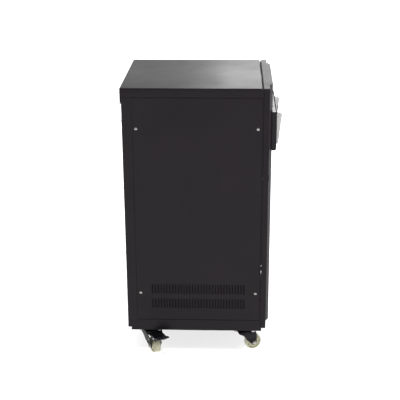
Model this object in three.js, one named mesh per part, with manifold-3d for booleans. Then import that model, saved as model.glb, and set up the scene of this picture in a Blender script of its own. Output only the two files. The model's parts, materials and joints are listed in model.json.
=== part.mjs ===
// A cabinet-style tennis ball machine, in millimetres, +Z up and the front facing -Y.
// Balls go in under the lid, a turning feed disc drops them one at a time down a tube to a ramp,
// and two counter-turning rubber wheels throw them out of the port in the front door.
// The origin is on the floor, under the middle of the whole object's box.

import * as THREE from "three";
import { mergeVertices } from "three/addons/utils/BufferGeometryUtils.js";
import Module from "manifold-3d";

const wasm = await Module();
wasm.setup();

// ---------------------------------------------------------------- driving dimensions

const SHEET = 1.5; // thickness of the folded steel sheet
const SEAM = 1.5; // visible gap between two panels
const TOUCH = 0.3; // gap between pieces that lie on each other

const HALF_WIDTH = 200; // cabinet, side to side
const BODY_FRONT = -189.5; // front plane of the cabinet, behind the door
const BODY_REAR = 206; // outer face of the back panel
const CASTER_HEIGHT = 80;
const PLINTH_HEIGHT = 10;
const BODY_HEIGHT = 740;
const BODY_BOTTOM = CASTER_HEIGHT + PLINTH_HEIGHT;
const TOP = BODY_BOTTOM + BODY_HEIGHT;

const LID_REAR = 210; // the lid's rear skirt hangs outside the back panel
const LID_SKIRT = 26.2;
const LID_REAR_SKIRT = 45;

const DOOR_GAP = 4.5;
const DOOR_DEPTH = 16;
const DOOR_BACK = BODY_FRONT - DOOR_GAP;
const DOOR_FRONT = DOOR_BACK - DOOR_DEPTH;
const RAISED_DEPTH = 10.2; // the door's raised middle panel
const RAISED_HALF = 134;
const RAISED_FOOT_HALF = 155;
const RAISED_FRONT = DOOR_FRONT - RAISED_DEPTH;

const CONSOLE_TOP = TOP - 83;
const CONSOLE_BOTTOM = TOP - 198;
const CONSOLE_FRONT = RAISED_FRONT - 13;
const CHEEK_FRONT = CONSOLE_FRONT - 16.8;

const HINGE_RADIUS = 3; // lid hinge knuckle
const KNUCKLE_SIDES = 8;
const HINGE_Y = BODY_REAR + 3.5;
const HINGE_Z = TOP - LID_REAR_SKIRT - 3.5;

const BALL_RADIUS = 33;
const WHEEL_RADIUS = 65; // throwing wheels
const WHEEL_GAP = 54; // squeezes the ball by 12 mm
const NIP_Y = -60; // middle of the gap between the throwing wheels, and the tilt axis
const NIP_Z = 400;
const WHEEL_OFFSET = WHEEL_RADIUS + WHEEL_GAP / 2;
const RAMP_ANGLE = THREE.MathUtils.degToRad(25);
const DROP_Y = 65; // where balls fall through the hopper floor

const POCKET_CIRCLE = 88; // feed disc
const POCKET_RADIUS = 36;
const DISC_Y = DROP_Y - POCKET_CIRCLE;
const HOPPER_FLOOR = 640;
const SHELF_TOP = 236;

const REAR_REACH = HINGE_Y + HINGE_RADIUS * Math.cos(Math.PI / KNUCKLE_SIDES);
const MIDDLE_Y = (REAR_REACH + CHEEK_FRONT) / 2;

// ---------------------------------------------------------------- materials

const paint = (hex, roughness, metalness = 0) =>
  new THREE.MeshStandardMaterial({ color: hex, roughness, metalness });

const BLACK_STEEL = paint(0x232022, 0.42, 0.2);
const BLACK_PLASTIC = paint(0x1c1b1f, 0.5);
const GREY_PLASTIC = paint(0xbcbcb8, 0.45);
const BUTTON_PLASTIC = paint(0xd9d9d2, 0.4);
const ACCENT_PLASTIC = paint(0x9fbf2f, 0.4);
const GLASS = paint(0x101418, 0.08);
const ZINC = paint(0xb9bcc0, 0.35, 0.9);
const MOTOR_STEEL = paint(0x8d9094, 0.4, 0.8);
const RUBBER = paint(0x2a2a2b, 0.85);
const NYLON = paint(0xc3c2a4, 0.55);
const HOPPER_PLASTIC = paint(0x3b3d40, 0.6);
const CIRCUIT = paint(0x1f5a34, 0.6);

// ---------------------------------------------------------------- shape helpers

// A closed BufferGeometry as a manifold solid.
function solidFrom(geometry) {
  const bare = new THREE.BufferGeometry();
  const flat = geometry.index ? geometry.toNonIndexed() : geometry;
  bare.setAttribute("position", flat.getAttribute("position"));
  const merged = mergeVertices(bare, 1e-4);
  return new wasm.Manifold(
    new wasm.Mesh({
      numProp: 3,
      vertProperties: merged.attributes.position.array,
      triVerts: new Uint32Array(merged.index.array),
    }),
  );
}

const AXES = {
  x: (from) => new THREE.Matrix4().set(0, 0, 1, from, 1, 0, 0, 0, 0, 1, 0, 0, 0, 0, 0, 1),
  y: (from, to) => new THREE.Matrix4().set(1, 0, 0, 0, 0, 0, -1, to, 0, 1, 0, 0, 0, 0, 0, 1),
  z: (from) => new THREE.Matrix4().makeTranslation(0, 0, from),
};

// An outline in the two other axes, in X, Y, Z order, pulled along one axis.
function prism(axis, outline, from, to) {
  const shape = new THREE.Shape(outline.map(([a, b]) => new THREE.Vector2(a, b)));
  const geometry = new THREE.ExtrudeGeometry(shape, { depth: to - from, bevelEnabled: false });
  return solidFrom(geometry.applyMatrix4(AXES[axis](from, to)));
}

const rect = (a0, a1, b0, b1) => [
  [a0, b0],
  [a1, b0],
  [a1, b1],
  [a0, b1],
];

function circle(radius, a = 0, b = 0, sides = 24) {
  const step = (2 * Math.PI) / sides;
  return Array.from({ length: sides }, (_, i) => [
    a + radius * Math.cos((i + 0.5) * step),
    b + radius * Math.sin((i + 0.5) * step),
  ]);
}

// A rectangle with round corners.
function roundRect(a0, a1, b0, b1, radius, steps = 3) {
  const corners = [
    [a1 - radius, b1 - radius],
    [a0 + radius, b1 - radius],
    [a0 + radius, b0 + radius],
    [a1 - radius, b0 + radius],
  ];
  return corners.flatMap(([a, b], quarter) =>
    Array.from({ length: steps + 1 }, (_, i) => {
      const turn = (quarter + i / steps) * (Math.PI / 2);
      return [a + radius * Math.cos(turn), b + radius * Math.sin(turn)];
    }),
  );
}

const box = (x0, x1, y0, y1, z0, z1) => prism("z", rect(x0, x1, y0, y1), z0, z1);

// Round bar along an axis, centred at (a, b) in the two other axes.
const rod = (axis, radius, a, b, from, to, sides) =>
  prism(axis, circle(radius, a, b, sides), from, to);

// A profile of [radius, height] points turned about Z.
const turned = (profile, sides = 32) =>
  solidFrom(
    new THREE.LatheGeometry(
      profile.map(([r, z]) => new THREE.Vector2(r, z)),
      sides,
    ).rotateX(Math.PI / 2),
  );

const join = (...solids) => solids.reduce((all, next) => all.add(next));
const cut = (solid, ...tools) => tools.reduce((left, tool) => left.subtract(tool), solid);
const mirrorX = (solid) => solid.mirror([1, 0, 0]);

// Outlines with the same number of points, stacked at their heights and capped.
function loft(layers) {
  const count = layers[0].outline.length;
  const positions = layers.flatMap(({ outline, z }) => outline.flatMap(([x, y]) => [x, y, z]));
  const index = [];
  for (let layer = 0; layer < layers.length - 1; layer++) {
    for (let i = 0; i < count; i++) {
      const a = layer * count + i;
      const b = layer * count + ((i + 1) % count);
      index.push(a, b, b + count, a, b + count, a + count);
    }
  }
  const last = (layers.length - 1) * count;
  for (let i = 1; i < count - 1; i++) {
    index.push(0, i + 1, i);
    index.push(last, last + i, last + i + 1);
  }
  const geometry = new THREE.BufferGeometry();
  geometry.setAttribute("position", new THREE.Float32BufferAttribute(positions, 3));
  geometry.setIndex(index);
  return solidFrom(geometry);
}

// ---------------------------------------------------------------- the scene graph

const machine = new THREE.Group();
machine.position.y = -MIDDLE_Y;

function node(name, material, solid, parent = machine) {
  const { vertProperties, triVerts, numProp } = solid.getMesh();
  const geometry = new THREE.BufferGeometry();
  const data = new THREE.InterleavedBuffer(vertProperties, numProp);
  geometry.setAttribute("position", new THREE.InterleavedBufferAttribute(data, 3, 0));
  geometry.setIndex(new THREE.BufferAttribute(triVerts, 1));
  const flat = geometry.toNonIndexed();
  flat.computeVertexNormals();
  const mesh = new THREE.Mesh(flat, material);
  mesh.name = name;
  parent.add(mesh);
  return mesh;
}

// ---------------------------------------------------------------- cabinet

const PANEL_FRONT = BODY_FRONT;
const PANEL_REAR = 175.5;
const PANEL_BOTTOM = TOP - 713;
const PANEL_TOP = TOP - 27.5;
const FRAME_TOP = TOP - 27;
const LATCH_FRONT = DOOR_BACK + 0.8; // the latch side closes up to the door, the pivot side clears it
const RING_OUTER = HALF_WIDTH - SHEET;
const RING_INNER = RING_OUTER - 2.3;

// Rear stile and bottom rail in the outer plane, with a backing ring that the side panel screws to,
// a front flange that the door lock catches, a rear flange for the back panel and a hopper ledge.
function sideFrame() {
  const stile = box(-HALF_WIDTH, -RING_OUTER, PANEL_REAR + SEAM, BODY_REAR, BODY_BOTTOM, FRAME_TOP);
  const rail = box(
    -HALF_WIDTH,
    -RING_OUTER,
    BODY_FRONT,
    BODY_REAR,
    BODY_BOTTOM,
    PANEL_BOTTOM - SEAM,
  );
  const ring = box(-RING_OUTER, -RING_INNER, BODY_FRONT, 204.2, BODY_BOTTOM, FRAME_TOP);
  const window = box(-RING_OUTER - 1, -RING_INNER + 1, -162, 150, 140, 772);
  const frontFlange = box(-RING_OUTER, -184, BODY_FRONT, BODY_FRONT + 2, BODY_BOTTOM + 2, FRAME_TOP);
  const rearFlange = box(-RING_OUTER, -180, 202.7, 204.2, BODY_BOTTOM + 2, FRAME_TOP);
  const ledge = box(-RING_OUTER, -187.5, BODY_FRONT, 202.7, TOP - 35, TOP - 32.6);
  return join(stile, rail, cut(ring, window), frontFlange, rearFlange, ledge);
}

// The latch side has a narrow front stile as well, and a thicker flange right behind the door's edge.
function latchSideFrame() {
  return join(
    sideFrame(),
    box(-HALF_WIDTH, -RING_OUTER + 0.5, LATCH_FRONT, BODY_FRONT - SEAM, BODY_BOTTOM, FRAME_TOP),
    box(-HALF_WIDTH, -RING_OUTER, LATCH_FRONT, BODY_FRONT, BODY_BOTTOM, PANEL_BOTTOM - SEAM),
    box(-RING_OUTER, -RING_INNER, LATCH_FRONT, BODY_FRONT + 1, BODY_BOTTOM, FRAME_TOP),
    box(-RING_OUTER, -184, LATCH_FRONT, BODY_FRONT + 1, BODY_BOTTOM + 2, FRAME_TOP),
  );
}

// Side cover with two rows of cooling slots near the bottom.
const SLOTS = 33;
const SLOT_PITCH = 8.56;
const SLOT_WIDTH = 4;
const SLOT_LENGTH = 30.5;
const SLOT_ROWS = [TOP - 612.2, TOP - 659.8];

function sidePanel() {
  const middle = (PANEL_FRONT + PANEL_REAR) / 2;
  const slots = SLOT_ROWS.flatMap((z) =>
    Array.from({ length: SLOTS }, (_, i) => {
      const y = middle + (i - (SLOTS - 1) / 2) * SLOT_PITCH;
      const half = SLOT_WIDTH / 2;
      const outline = rect(y - half, y + half, z - SLOT_LENGTH / 2, z + SLOT_LENGTH / 2);
      return prism("x", outline, -HALF_WIDTH - 1, -RING_OUTER + 1);
    }),
  );
  const plate = box(
    -HALF_WIDTH,
    -RING_OUTER - TOUCH,
    PANEL_FRONT,
    PANEL_REAR,
    PANEL_BOTTOM,
    PANEL_TOP,
  );
  return cut(plate, wasm.Manifold.union(slots));
}

const FAN_X = 95;
const FAN_Z = 190;
const INLET_X = -110;
const INLET_Z = 165;

function backPanel() {
  const half = RING_OUTER - TOUCH;
  return cut(
    box(-half, half, BODY_REAR - SHEET, BODY_REAR, BODY_BOTTOM + 2.3, FRAME_TOP),
    rod("y", 37, FAN_X, FAN_Z, 200, 210),
    prism("y", rect(INLET_X - 24.5, INLET_X + 24.5, INLET_Z - 14.5, INLET_Z + 14.5), 200, 210),
  );
}

function floorPlate() {
  const half = RING_INNER - TOUCH;
  const bottom = BODY_BOTTOM + TOUCH;
  return join(
    box(-half, half, BODY_FRONT + 2.3, 202.4, bottom, bottom + SHEET),
    box(-183.5, 183.5, BODY_FRONT, BODY_FRONT + 2.5, bottom, BODY_BOTTOM + 24),
  );
}

// Shallow tray under the floor, set in at the front and rear, that carries the casters.
function plinth() {
  return cut(
    box(-198.5, 198.5, -197.5, 196.4, CASTER_HEIGHT, BODY_BOTTOM - TOUCH),
    box(-196.5, 196.5, -195.5, 194.4, CASTER_HEIGHT + 2.5, BODY_BOTTOM + 1),
  );
}

function frontTopRail() {
  return join(
    box(-183.5, 183.5, BODY_FRONT, BODY_FRONT + SHEET, FRAME_TOP - 26, FRAME_TOP),
    box(-183.5, 183.5, BODY_FRONT, BODY_FRONT + 9, FRAME_TOP - SHEET, FRAME_TOP),
  );
}

function addCabinet() {
  const frame = sideFrame();
  const panel = sidePanel();
  node("left_side_frame", BLACK_STEEL, latchSideFrame());
  node("right_side_frame", BLACK_STEEL, mirrorX(frame));
  node("left_side_panel", BLACK_STEEL, panel);
  node("right_side_panel", BLACK_STEEL, mirrorX(panel));
  node("back_panel", BLACK_STEEL, backPanel());
  node("floor_plate", BLACK_STEEL, floorPlate());
  node("base_plinth", BLACK_STEEL, plinth());
  node("front_top_rail", BLACK_STEEL, frontTopRail());
}

// ---------------------------------------------------------------- lid and its hinge

function lid() {
  const wall = HALF_WIDTH - SHEET;
  const skirtBottom = TOP - LID_SKIRT;
  const rearBottom = TOP - LID_REAR_SKIRT;
  const side = join(
    box(-HALF_WIDTH, -wall, BODY_FRONT, LID_REAR, skirtBottom, TOP),
    box(-HALF_WIDTH, -wall, BODY_REAR + 0.8, LID_REAR, rearBottom, TOP),
  );
  return join(
    box(-HALF_WIDTH, HALF_WIDTH, BODY_FRONT, LID_REAR, TOP - SHEET, TOP),
    side,
    mirrorX(side),
    box(-HALF_WIDTH, -wall, LATCH_FRONT, BODY_FRONT + 1, skirtBottom, TOP - SHEET),
    box(-HALF_WIDTH, HALF_WIDTH, BODY_FRONT, BODY_FRONT + SHEET, TOP - 20, TOP),
    box(-HALF_WIDTH, HALF_WIDTH, LID_REAR - SHEET, LID_REAR, rearBottom, TOP),
  );
}

// Five knuckles across the back: the odd ones belong to the cabinet's leaf, the others to the lid's.
const KNUCKLES = 5;
const HINGE_HALF = 170;
const KNUCKLE_PITCH = (2 * HINGE_HALF) / KNUCKLES;
const KNUCKLE_CLEARANCE = 0.4;

function knuckle(i, leafBottom, leafTop, leafY) {
  const from = -HINGE_HALF + i * KNUCKLE_PITCH + KNUCKLE_CLEARANCE;
  const to = from + KNUCKLE_PITCH - 2 * KNUCKLE_CLEARANCE;
  return join(
    rod("x", HINGE_RADIUS, HINGE_Y, HINGE_Z, from, to, KNUCKLE_SIDES),
    box(from, to, leafY, leafY + 1.2, leafBottom, leafTop),
  );
}

function fixedHingeLeaf() {
  const leafY = BODY_REAR + TOUCH;
  const knuckles = [0, 2, 4].map((i) => knuckle(i, HINGE_Z - 30, HINGE_Z, leafY));
  const plate = box(-HINGE_HALF, HINGE_HALF, leafY, leafY + 1.2, HINGE_Z - 32, HINGE_Z - 4.2);
  const pin = rod("x", 1.2, HINGE_Y, HINGE_Z, -HINGE_HALF, HINGE_HALF, 8);
  return join(plate, pin, ...knuckles);
}

function movingHingeLeaf() {
  const leafY = BODY_REAR + 0.95;
  const plateBottom = HINGE_Z + 4.5;
  const knuckles = [1, 3].map((i) => knuckle(i, HINGE_Z, plateBottom + 2, leafY));
  const reach = HINGE_HALF - 2;
  const plate = box(-reach, reach, leafY, leafY + 1.2, plateBottom, HINGE_Z + 24);
  const bore = rod("x", 1.7, HINGE_Y, HINGE_Z, -HINGE_HALF - 1, HINGE_HALF + 1, 8);
  return cut(join(plate, ...knuckles), bore);
}

function addLid() {
  node("lid", BLACK_STEEL, lid());
  node("lid_hinge_fixed_leaf", ZINC, fixedHingeLeaf());
  node("lid_hinge_moving_leaf", ZINC, movingHingeLeaf());
}

// ---------------------------------------------------------------- front door

const PIVOT_X = 192; // the door turns on two pins inside its right edge
const PIVOT_Y = DOOR_FRONT + DOOR_DEPTH / 2;
const PIVOT_ARMS = { door_pivot_bottom: 104, door_pivot_top: TOP - 43 };
const PIN_RADIUS = 3;
const LOCK_X = -172;
const LOCK_Z = 560;

const PORT = { half: 52, bottom: 338, top: 507, corner: 22 };
const portOutline = (grow) =>
  roundRect(
    -PORT.half - grow,
    PORT.half + grow,
    PORT.bottom - grow,
    PORT.top + grow,
    PORT.corner + grow,
  );

function door() {
  const bottom = BODY_BOTTOM + 0.6;
  const raised = (inset) => [
    [-RAISED_FOOT_HALF + inset, DOOR_FRONT + 1 + inset],
    [-RAISED_FOOT_HALF + inset, DOOR_FRONT + inset],
    [-RAISED_HALF + inset * 0.4, RAISED_FRONT + inset],
    [RAISED_HALF - inset * 0.4, RAISED_FRONT + inset],
    [RAISED_FOOT_HALF - inset, DOOR_FRONT + inset],
    [RAISED_FOOT_HALF - inset, DOOR_FRONT + 1 + inset],
  ];
  const skin = cut(
    join(
      box(-HALF_WIDTH, HALF_WIDTH, DOOR_FRONT, DOOR_BACK, bottom, TOP),
      prism("z", raised(0), bottom, TOP),
    ),
    box(
      -HALF_WIDTH + SHEET,
      HALF_WIDTH - SHEET,
      DOOR_FRONT + SHEET,
      DOOR_BACK + 1,
      bottom + SHEET,
      TOP - SHEET,
    ),
    prism("z", raised(SHEET), bottom + SHEET, TOP - SHEET),
    prism("y", portOutline(5), RAISED_FRONT - 1, DOOR_BACK),
    rod("y", 9, LOCK_X, LOCK_Z, DOOR_FRONT - 1, DOOR_BACK),
    rod("y", 8, 0, CONSOLE_BOTTOM + 20, RAISED_FRONT - 1, DOOR_BACK),
  );
  const arms = Object.values(PIVOT_ARMS);
  const notches = arms.map((z) =>
    box(RING_OUTER - 0.5, HALF_WIDTH + 1, DOOR_FRONT + SHEET, DOOR_BACK + 1, z - 15, z + 18),
  );
  const blocks = arms.map((z) =>
    cut(
      box(187, 197, DOOR_FRONT + SHEET - 0.5, PIVOT_Y + 5, z + 3.4, z + 15),
      rod("z", PIN_RADIUS + 0.4, PIVOT_X, PIVOT_Y, z, z + 13.5, 20),
    ),
  );
  return join(cut(skin, ...notches), ...blocks);
}

// Bracket on the cabinet's front flange with an upright pin for the door to turn on.
function doorPivot(z) {
  const face = BODY_FRONT - TOUCH;
  return join(
    box(186, 197, face - 1.5, face, z - 12, z + 15),
    box(PIVOT_X - 3.4, PIVOT_X + 3.4, PIVOT_Y - 3.2, face, z, z + 3),
    rod("z", PIN_RADIUS, PIVOT_X, PIVOT_Y, z, z + 13, 20),
  );
}

// Lining of the throwing port, with a thin flange on the door's face.
function portLiner() {
  return cut(
    join(
      prism("y", portOutline(4), RAISED_FRONT - 1, DOOR_BACK + 3),
      prism("y", portOutline(15), RAISED_FRONT - 1.8, RAISED_FRONT - TOUCH),
    ),
    prism("y", portOutline(0), RAISED_FRONT - 3, DOOR_BACK + 4),
  );
}

// Quarter-turn lock: a plug through the door with a cam that swings behind the front flange.
function lockCam() {
  const camY = BODY_FRONT + 3;
  return join(
    rod("y", 8, LOCK_X, LOCK_Z, DOOR_FRONT - 2, DOOR_BACK),
    rod("y", 5, LOCK_X, LOCK_Z, DOOR_BACK - 1, camY + 2, 16),
    prism("y", roundRect(LOCK_X - 6, LOCK_X + 6, LOCK_Z - 6, LOCK_Z + 22, 5.9), camY, camY + 2),
  );
}

function addDoor() {
  node("front_door", BLACK_STEEL, door());
  node("port_liner", BLACK_PLASTIC, portLiner());
  node("lock_cam", ZINC, lockCam());
  for (const [name, z] of Object.entries(PIVOT_ARMS)) node(name, ZINC, doorPivot(z));
}

// ---------------------------------------------------------------- control console

const CONSOLE_MIDDLE = (CONSOLE_TOP + CONSOLE_BOTTOM) / 2;
const BEZEL = { half: 100, top: CONSOLE_TOP - 9, bottom: CONSOLE_BOTTOM + 10, rim: 8 };
const CHEEK_THICKNESS = 6;
const DISPLAY = { half: 40, bottom: CONSOLE_MIDDLE + 4, top: CONSOLE_MIDDLE + 36 };
const BUTTONS = [-32, 0, 32];
const BUTTON_Z = CONSOLE_MIDDLE - 23;
const BUTTON_RADIUS = 9;
const BUTTON_TRAVEL = 1.5;
const KNOBS = { speed_knob: -68, feed_rate_knob: 68 };
const KNOB_Z = CONSOLE_MIDDLE + 16;
const KNOB_RADIUS = 14;

// Black box on the door's raised panel, open at the back, with a rounded lower edge.
function consoleHousing() {
  const back = RAISED_FRONT - TOUCH;
  const radius = 6;
  const lowerCorner = Array.from({ length: 6 }, (_, i) => {
    const turn = (-i / 5) * (Math.PI / 2);
    return [
      CONSOLE_FRONT + radius - radius * Math.cos(turn),
      CONSOLE_BOTTOM + radius + radius * Math.sin(turn),
    ];
  });
  const profile = [
    [back, CONSOLE_TOP],
    [CONSOLE_FRONT + 1, CONSOLE_TOP],
    [CONSOLE_FRONT, CONSOLE_TOP - 1],
    ...lowerCorner,
    [back, CONSOLE_BOTTOM],
  ];
  const wall = 2.5;
  return cut(
    prism("x", profile, -RAISED_HALF, RAISED_HALF),
    box(
      -RAISED_HALF + wall,
      RAISED_HALF - wall,
      CONSOLE_FRONT + wall,
      back + 1,
      CONSOLE_BOTTOM + wall + 3,
      CONSOLE_TOP - wall,
    ),
    ...BUTTONS.map((x) =>
      rod("y", BUTTON_RADIUS + 0.5, x, BUTTON_Z, CONSOLE_FRONT - 1, CONSOLE_FRONT + 4),
    ),
    ...Object.values(KNOBS).map((x) =>
      rod("y", 4, x, KNOB_Z, CONSOLE_FRONT - 1, CONSOLE_FRONT + 4, 16),
    ),
  );
}

// Frame round the controls, with a cheek at each end that shields them from stray balls.
function consoleBezel() {
  const { half, top, bottom, rim } = BEZEL;
  const back = CONSOLE_FRONT - TOUCH;
  const frame = cut(
    prism("y", roundRect(-half, half, bottom, top, 4), CONSOLE_FRONT - 3.5, back),
    prism("y", roundRect(-half + rim, half - rim, bottom + rim, top - rim, 5), back - 9, back + 1),
  );
  const profile = [
    [back, bottom],
    [CONSOLE_FRONT - 6.8, bottom],
    [CHEEK_FRONT, top - 7.5],
    [back, top],
  ];
  const cheek = prism("x", profile, -half, -half + CHEEK_THICKNESS);
  return join(frame, cheek, mirrorX(cheek));
}

function displayWindow() {
  const { half, bottom, top } = DISPLAY;
  const back = CONSOLE_FRONT - TOUCH;
  return prism("y", roundRect(-half, half, bottom, top, 3), back - 1.8, back);
}

// Round push button with a collar behind the face that keeps it in.
function pushButton(x) {
  return join(
    rod("y", BUTTON_RADIUS, x, BUTTON_Z, CONSOLE_FRONT - 4.5, CONSOLE_FRONT + 3.2, 20),
    rod("y", BUTTON_RADIUS + 2, x, BUTTON_Z, CONSOLE_FRONT + 2.8, CONSOLE_FRONT + 5, 12),
  );
}

function knob(x) {
  const outline = circle(KNOB_RADIUS, x, KNOB_Z, 32).map(([a, b], i) => {
    const scale = i % 4 < 2 ? 1 : 0.93;
    return [x + (a - x) * scale, KNOB_Z + (b - KNOB_Z) * scale];
  });
  return join(
    prism("y", outline, CONSOLE_FRONT - 11.3, CONSOLE_FRONT - 1),
    rod("y", 3.2, x, KNOB_Z, CONSOLE_FRONT - 2, CONSOLE_FRONT + 6, 16),
  );
}

function addConsole() {
  node("console_housing", BLACK_PLASTIC, consoleHousing());
  node("console_bezel", GREY_PLASTIC, consoleBezel());
  node("display_window", GLASS, displayWindow());
  const names = ["start_button", "stop_button", "mode_button"];
  const colours = [ACCENT_PLASTIC, BUTTON_PLASTIC, BUTTON_PLASTIC];
  BUTTONS.forEach((x, i) => node(names[i], colours[i], pushButton(x)));
  for (const [name, x] of Object.entries(KNOBS)) node(name, GREY_PLASTIC, knob(x));
}

// ---------------------------------------------------------------- hopper and feed

const HOPPER = { halfWidth: 186, front: -176, rear: 196, wall: 2 };
const WELL_RADIUS = 135;
const WELL_TOP = 690;
const FUNNEL_TOP = 745;
const RIM_TOP = TOP - 30.3;
const WELL_SIDES = 32;

// Round well below, rectangular bin above, with a sloping funnel between them.
function hopperForm(grow, bottom, top) {
  const round = circle(WELL_RADIUS + grow, 0, DISC_Y, WELL_SIDES);
  const { halfWidth, front, rear, wall } = HOPPER;
  const reachX = halfWidth - wall + grow;
  const square = round.map(([x, y]) => {
    const [dx, dy] = [x, y - DISC_Y];
    const reachY = dy < 0 ? DISC_Y - front - wall + grow : rear - wall + grow - DISC_Y;
    const scale = Math.min(reachX / Math.abs(dx), reachY / Math.abs(dy));
    return [dx * scale, DISC_Y + dy * scale];
  });
  return loft([
    { outline: round, z: bottom },
    { outline: round, z: WELL_TOP - grow * 0.4 },
    { outline: square, z: FUNNEL_TOP - grow * 0.4 },
    { outline: square, z: top },
  ]);
}

function hopper() {
  const { halfWidth, front, rear, wall } = HOPPER;
  const rim = box(-halfWidth - 9, halfWidth + 9, front - 9, rear + 6, RIM_TOP - 2, RIM_TOP);
  const outer = join(hopperForm(wall, HOPPER_FLOOR, RIM_TOP), rim);
  return cut(
    outer,
    hopperForm(0, HOPPER_FLOOR + wall, RIM_TOP + 1),
    rod("z", POCKET_RADIUS + 1, 0, DROP_Y, HOPPER_FLOOR - 1, HOPPER_FLOOR + 3),
    rod("z", 8, 0, DISC_Y, HOPPER_FLOOR - 1, HOPPER_FLOOR + 3, 24),
  );
}

// Turning disc with six ball pockets, a stirring cone on top and its drive shaft below.
const POCKETS = 6;
const DISC_BOTTOM = HOPPER_FLOOR + 3.5;
const DISC_TOP = DISC_BOTTOM + 40;

function feedDisc() {
  const pockets = Array.from({ length: POCKETS }, (_, i) => {
    const turn = Math.PI / 2 + (i * 2 * Math.PI) / POCKETS;
    const x = POCKET_CIRCLE * Math.cos(turn);
    const y = DISC_Y + POCKET_CIRCLE * Math.sin(turn);
    return rod("z", POCKET_RADIUS, x, y, DISC_BOTTOM - 1, DISC_TOP + 1);
  });
  const cone = turned([
    [0, DISC_TOP - 1],
    [42, DISC_TOP - 1],
    [38, DISC_TOP + 6],
    [16, DISC_TOP + 24],
    [0, DISC_TOP + 28],
  ], 20).translate([0, DISC_Y, 0]);
  return join(
    cut(rod("z", 132, 0, DISC_Y, DISC_BOTTOM, DISC_TOP, 48), ...pockets),
    cone,
    rod("z", 6, 0, DISC_Y, HOPPER_FLOOR - 7, DISC_BOTTOM + 1, 20),
  );
}

function feedGearmotor() {
  const top = HOPPER_FLOOR - TOUCH;
  return cut(
    join(
      rod("z", 30, 0, DISC_Y, 580, top - 7),
      prism("z", roundRect(-35, 35, DISC_Y - 35, DISC_Y + 35, 6), top - 8, top),
    ),
    rod("z", 8, 0, DISC_Y, top - 12, top + 1, 24),
  );
}

const TUBE_BOTTOM = 535;

function dropTube() {
  const top = HOPPER_FLOOR - TOUCH;
  return cut(
    join(
      rod("z", 39, 0, DROP_Y, TUBE_BOTTOM, top),
      rod("z", 46, 0, DROP_Y, top - 3, top),
    ),
    rod("z", 36.8, 0, DROP_Y, TUBE_BOTTOM - 1, top + 1),
  );
}

function addFeed() {
  node("hopper_bin", HOPPER_PLASTIC, hopper());
  node("feed_disc", ACCENT_PLASTIC, feedDisc());
  node("feed_gearmotor", MOTOR_STEEL, feedGearmotor());
  node("drop_tube", HOPPER_PLASTIC, dropTube());
}

// ---------------------------------------------------------------- launcher

const CRADLE_INNER = 50; // inner face of the cradle's side plates
const CRADLE_PLATE = 4;
const STUB_RADIUS = 7;
const STAND_X = 140;
const SHAFT_RADIUS = 5;
const WHEEL_HEIGHTS = { upper: NIP_Z + WHEEL_OFFSET, lower: NIP_Z - WHEEL_OFFSET };
const KNOB_FACE = -146;

// Folded bracket that holds both throwing wheels, with a stub shaft on each side to tilt on.
function cradle() {
  const outer = CRADLE_INNER + CRADLE_PLATE;
  const outline = [
    [NIP_Y - 22, 278],
    [NIP_Y + 60, 278],
    [NIP_Y + 88, 300],
    [NIP_Y + 88, 350],
    [NIP_Y + 40, NIP_Z],
    [NIP_Y + 40, 545],
    [NIP_Y + 22, 564],
    [NIP_Y - 22, 564],
    [NIP_Y - 35, 545],
    [NIP_Y - 35, 295],
  ];
  const shaftHoles = Object.values(WHEEL_HEIGHTS).map((z) =>
    rod("x", 9, NIP_Y, z, -outer - 1, outer + 1, 24),
  );
  const plates = cut(
    join(prism("x", outline, -outer, -CRADLE_INNER), prism("x", outline, CRADLE_INNER, outer)),
    ...shaftHoles,
  );
  const topWeb = box(-CRADLE_INNER - 1, CRADLE_INNER + 1, NIP_Y - 22, NIP_Y + 22, 560, 564);
  const rearWeb = box(-CRADLE_INNER - 1, CRADLE_INNER + 1, NIP_Y + 84, NIP_Y + 88, 300, 350);
  return join(
    plates,
    topWeb,
    rearWeb,
    rod("x", STUB_RADIUS, NIP_Y, NIP_Z, -150, -CRADLE_INNER - 1, 24),
    rod("x", STUB_RADIUS, NIP_Y, NIP_Z, CRADLE_INNER + 1, 150, 24),
  );
}

// Channel down which a ball rolls to the wheels.
function feedRamp() {
  const start = [NIP_Y + 34 + BALL_RADIUS * Math.sin(RAMP_ANGLE), NIP_Z - BALL_RADIUS * Math.cos(RAMP_ANGLE)];
  const along = [Math.cos(RAMP_ANGLE), Math.sin(RAMP_ANGLE)];
  const up = [-along[1], along[0]];
  const point = (s, h) => [
    start[0] + s * along[0] + h * up[0],
    start[1] + s * along[1] + h * up[1],
  ];
  const length = 124;
  const floor = [point(0, 0), point(0, -2), point(length, -2), point(length, 0)];
  const wall = [point(4, -1), point(length, -1), point(length, 32), point(20, 32)];
  const side = prism("x", wall, -39, -37);
  return join(
    prism("x", floor, -CRADLE_INNER + TOUCH, CRADLE_INNER - TOUCH),
    side,
    mirrorX(side),
  );
}

const aboutX = (solid, z) => solid.rotate([0, 90, 0]).translate([0, NIP_Y, z]);

function throwingTyre(z) {
  const profile = [
    [45, -22],
    [WHEEL_RADIUS - 5, -22],
    [WHEEL_RADIUS, -17],
    [WHEEL_RADIUS, 17],
    [WHEEL_RADIUS - 5, 22],
    [45, 22],
    [45, -22],
  ];
  return aboutX(turned(profile), z);
}

function throwingHub(z) {
  const side = [
    [0, 60],
    [SHAFT_RADIUS, 60],
    [SHAFT_RADIUS, 30],
    [14, 30],
    [14, 6],
    [38, 6],
    [38, 20],
    [44.4, 20],
  ];
  const otherSide = side.map(([r, x]) => [r, -x]);
  return aboutX(turned([...otherSide, ...side.toReversed()], 20), z);
}

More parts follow.
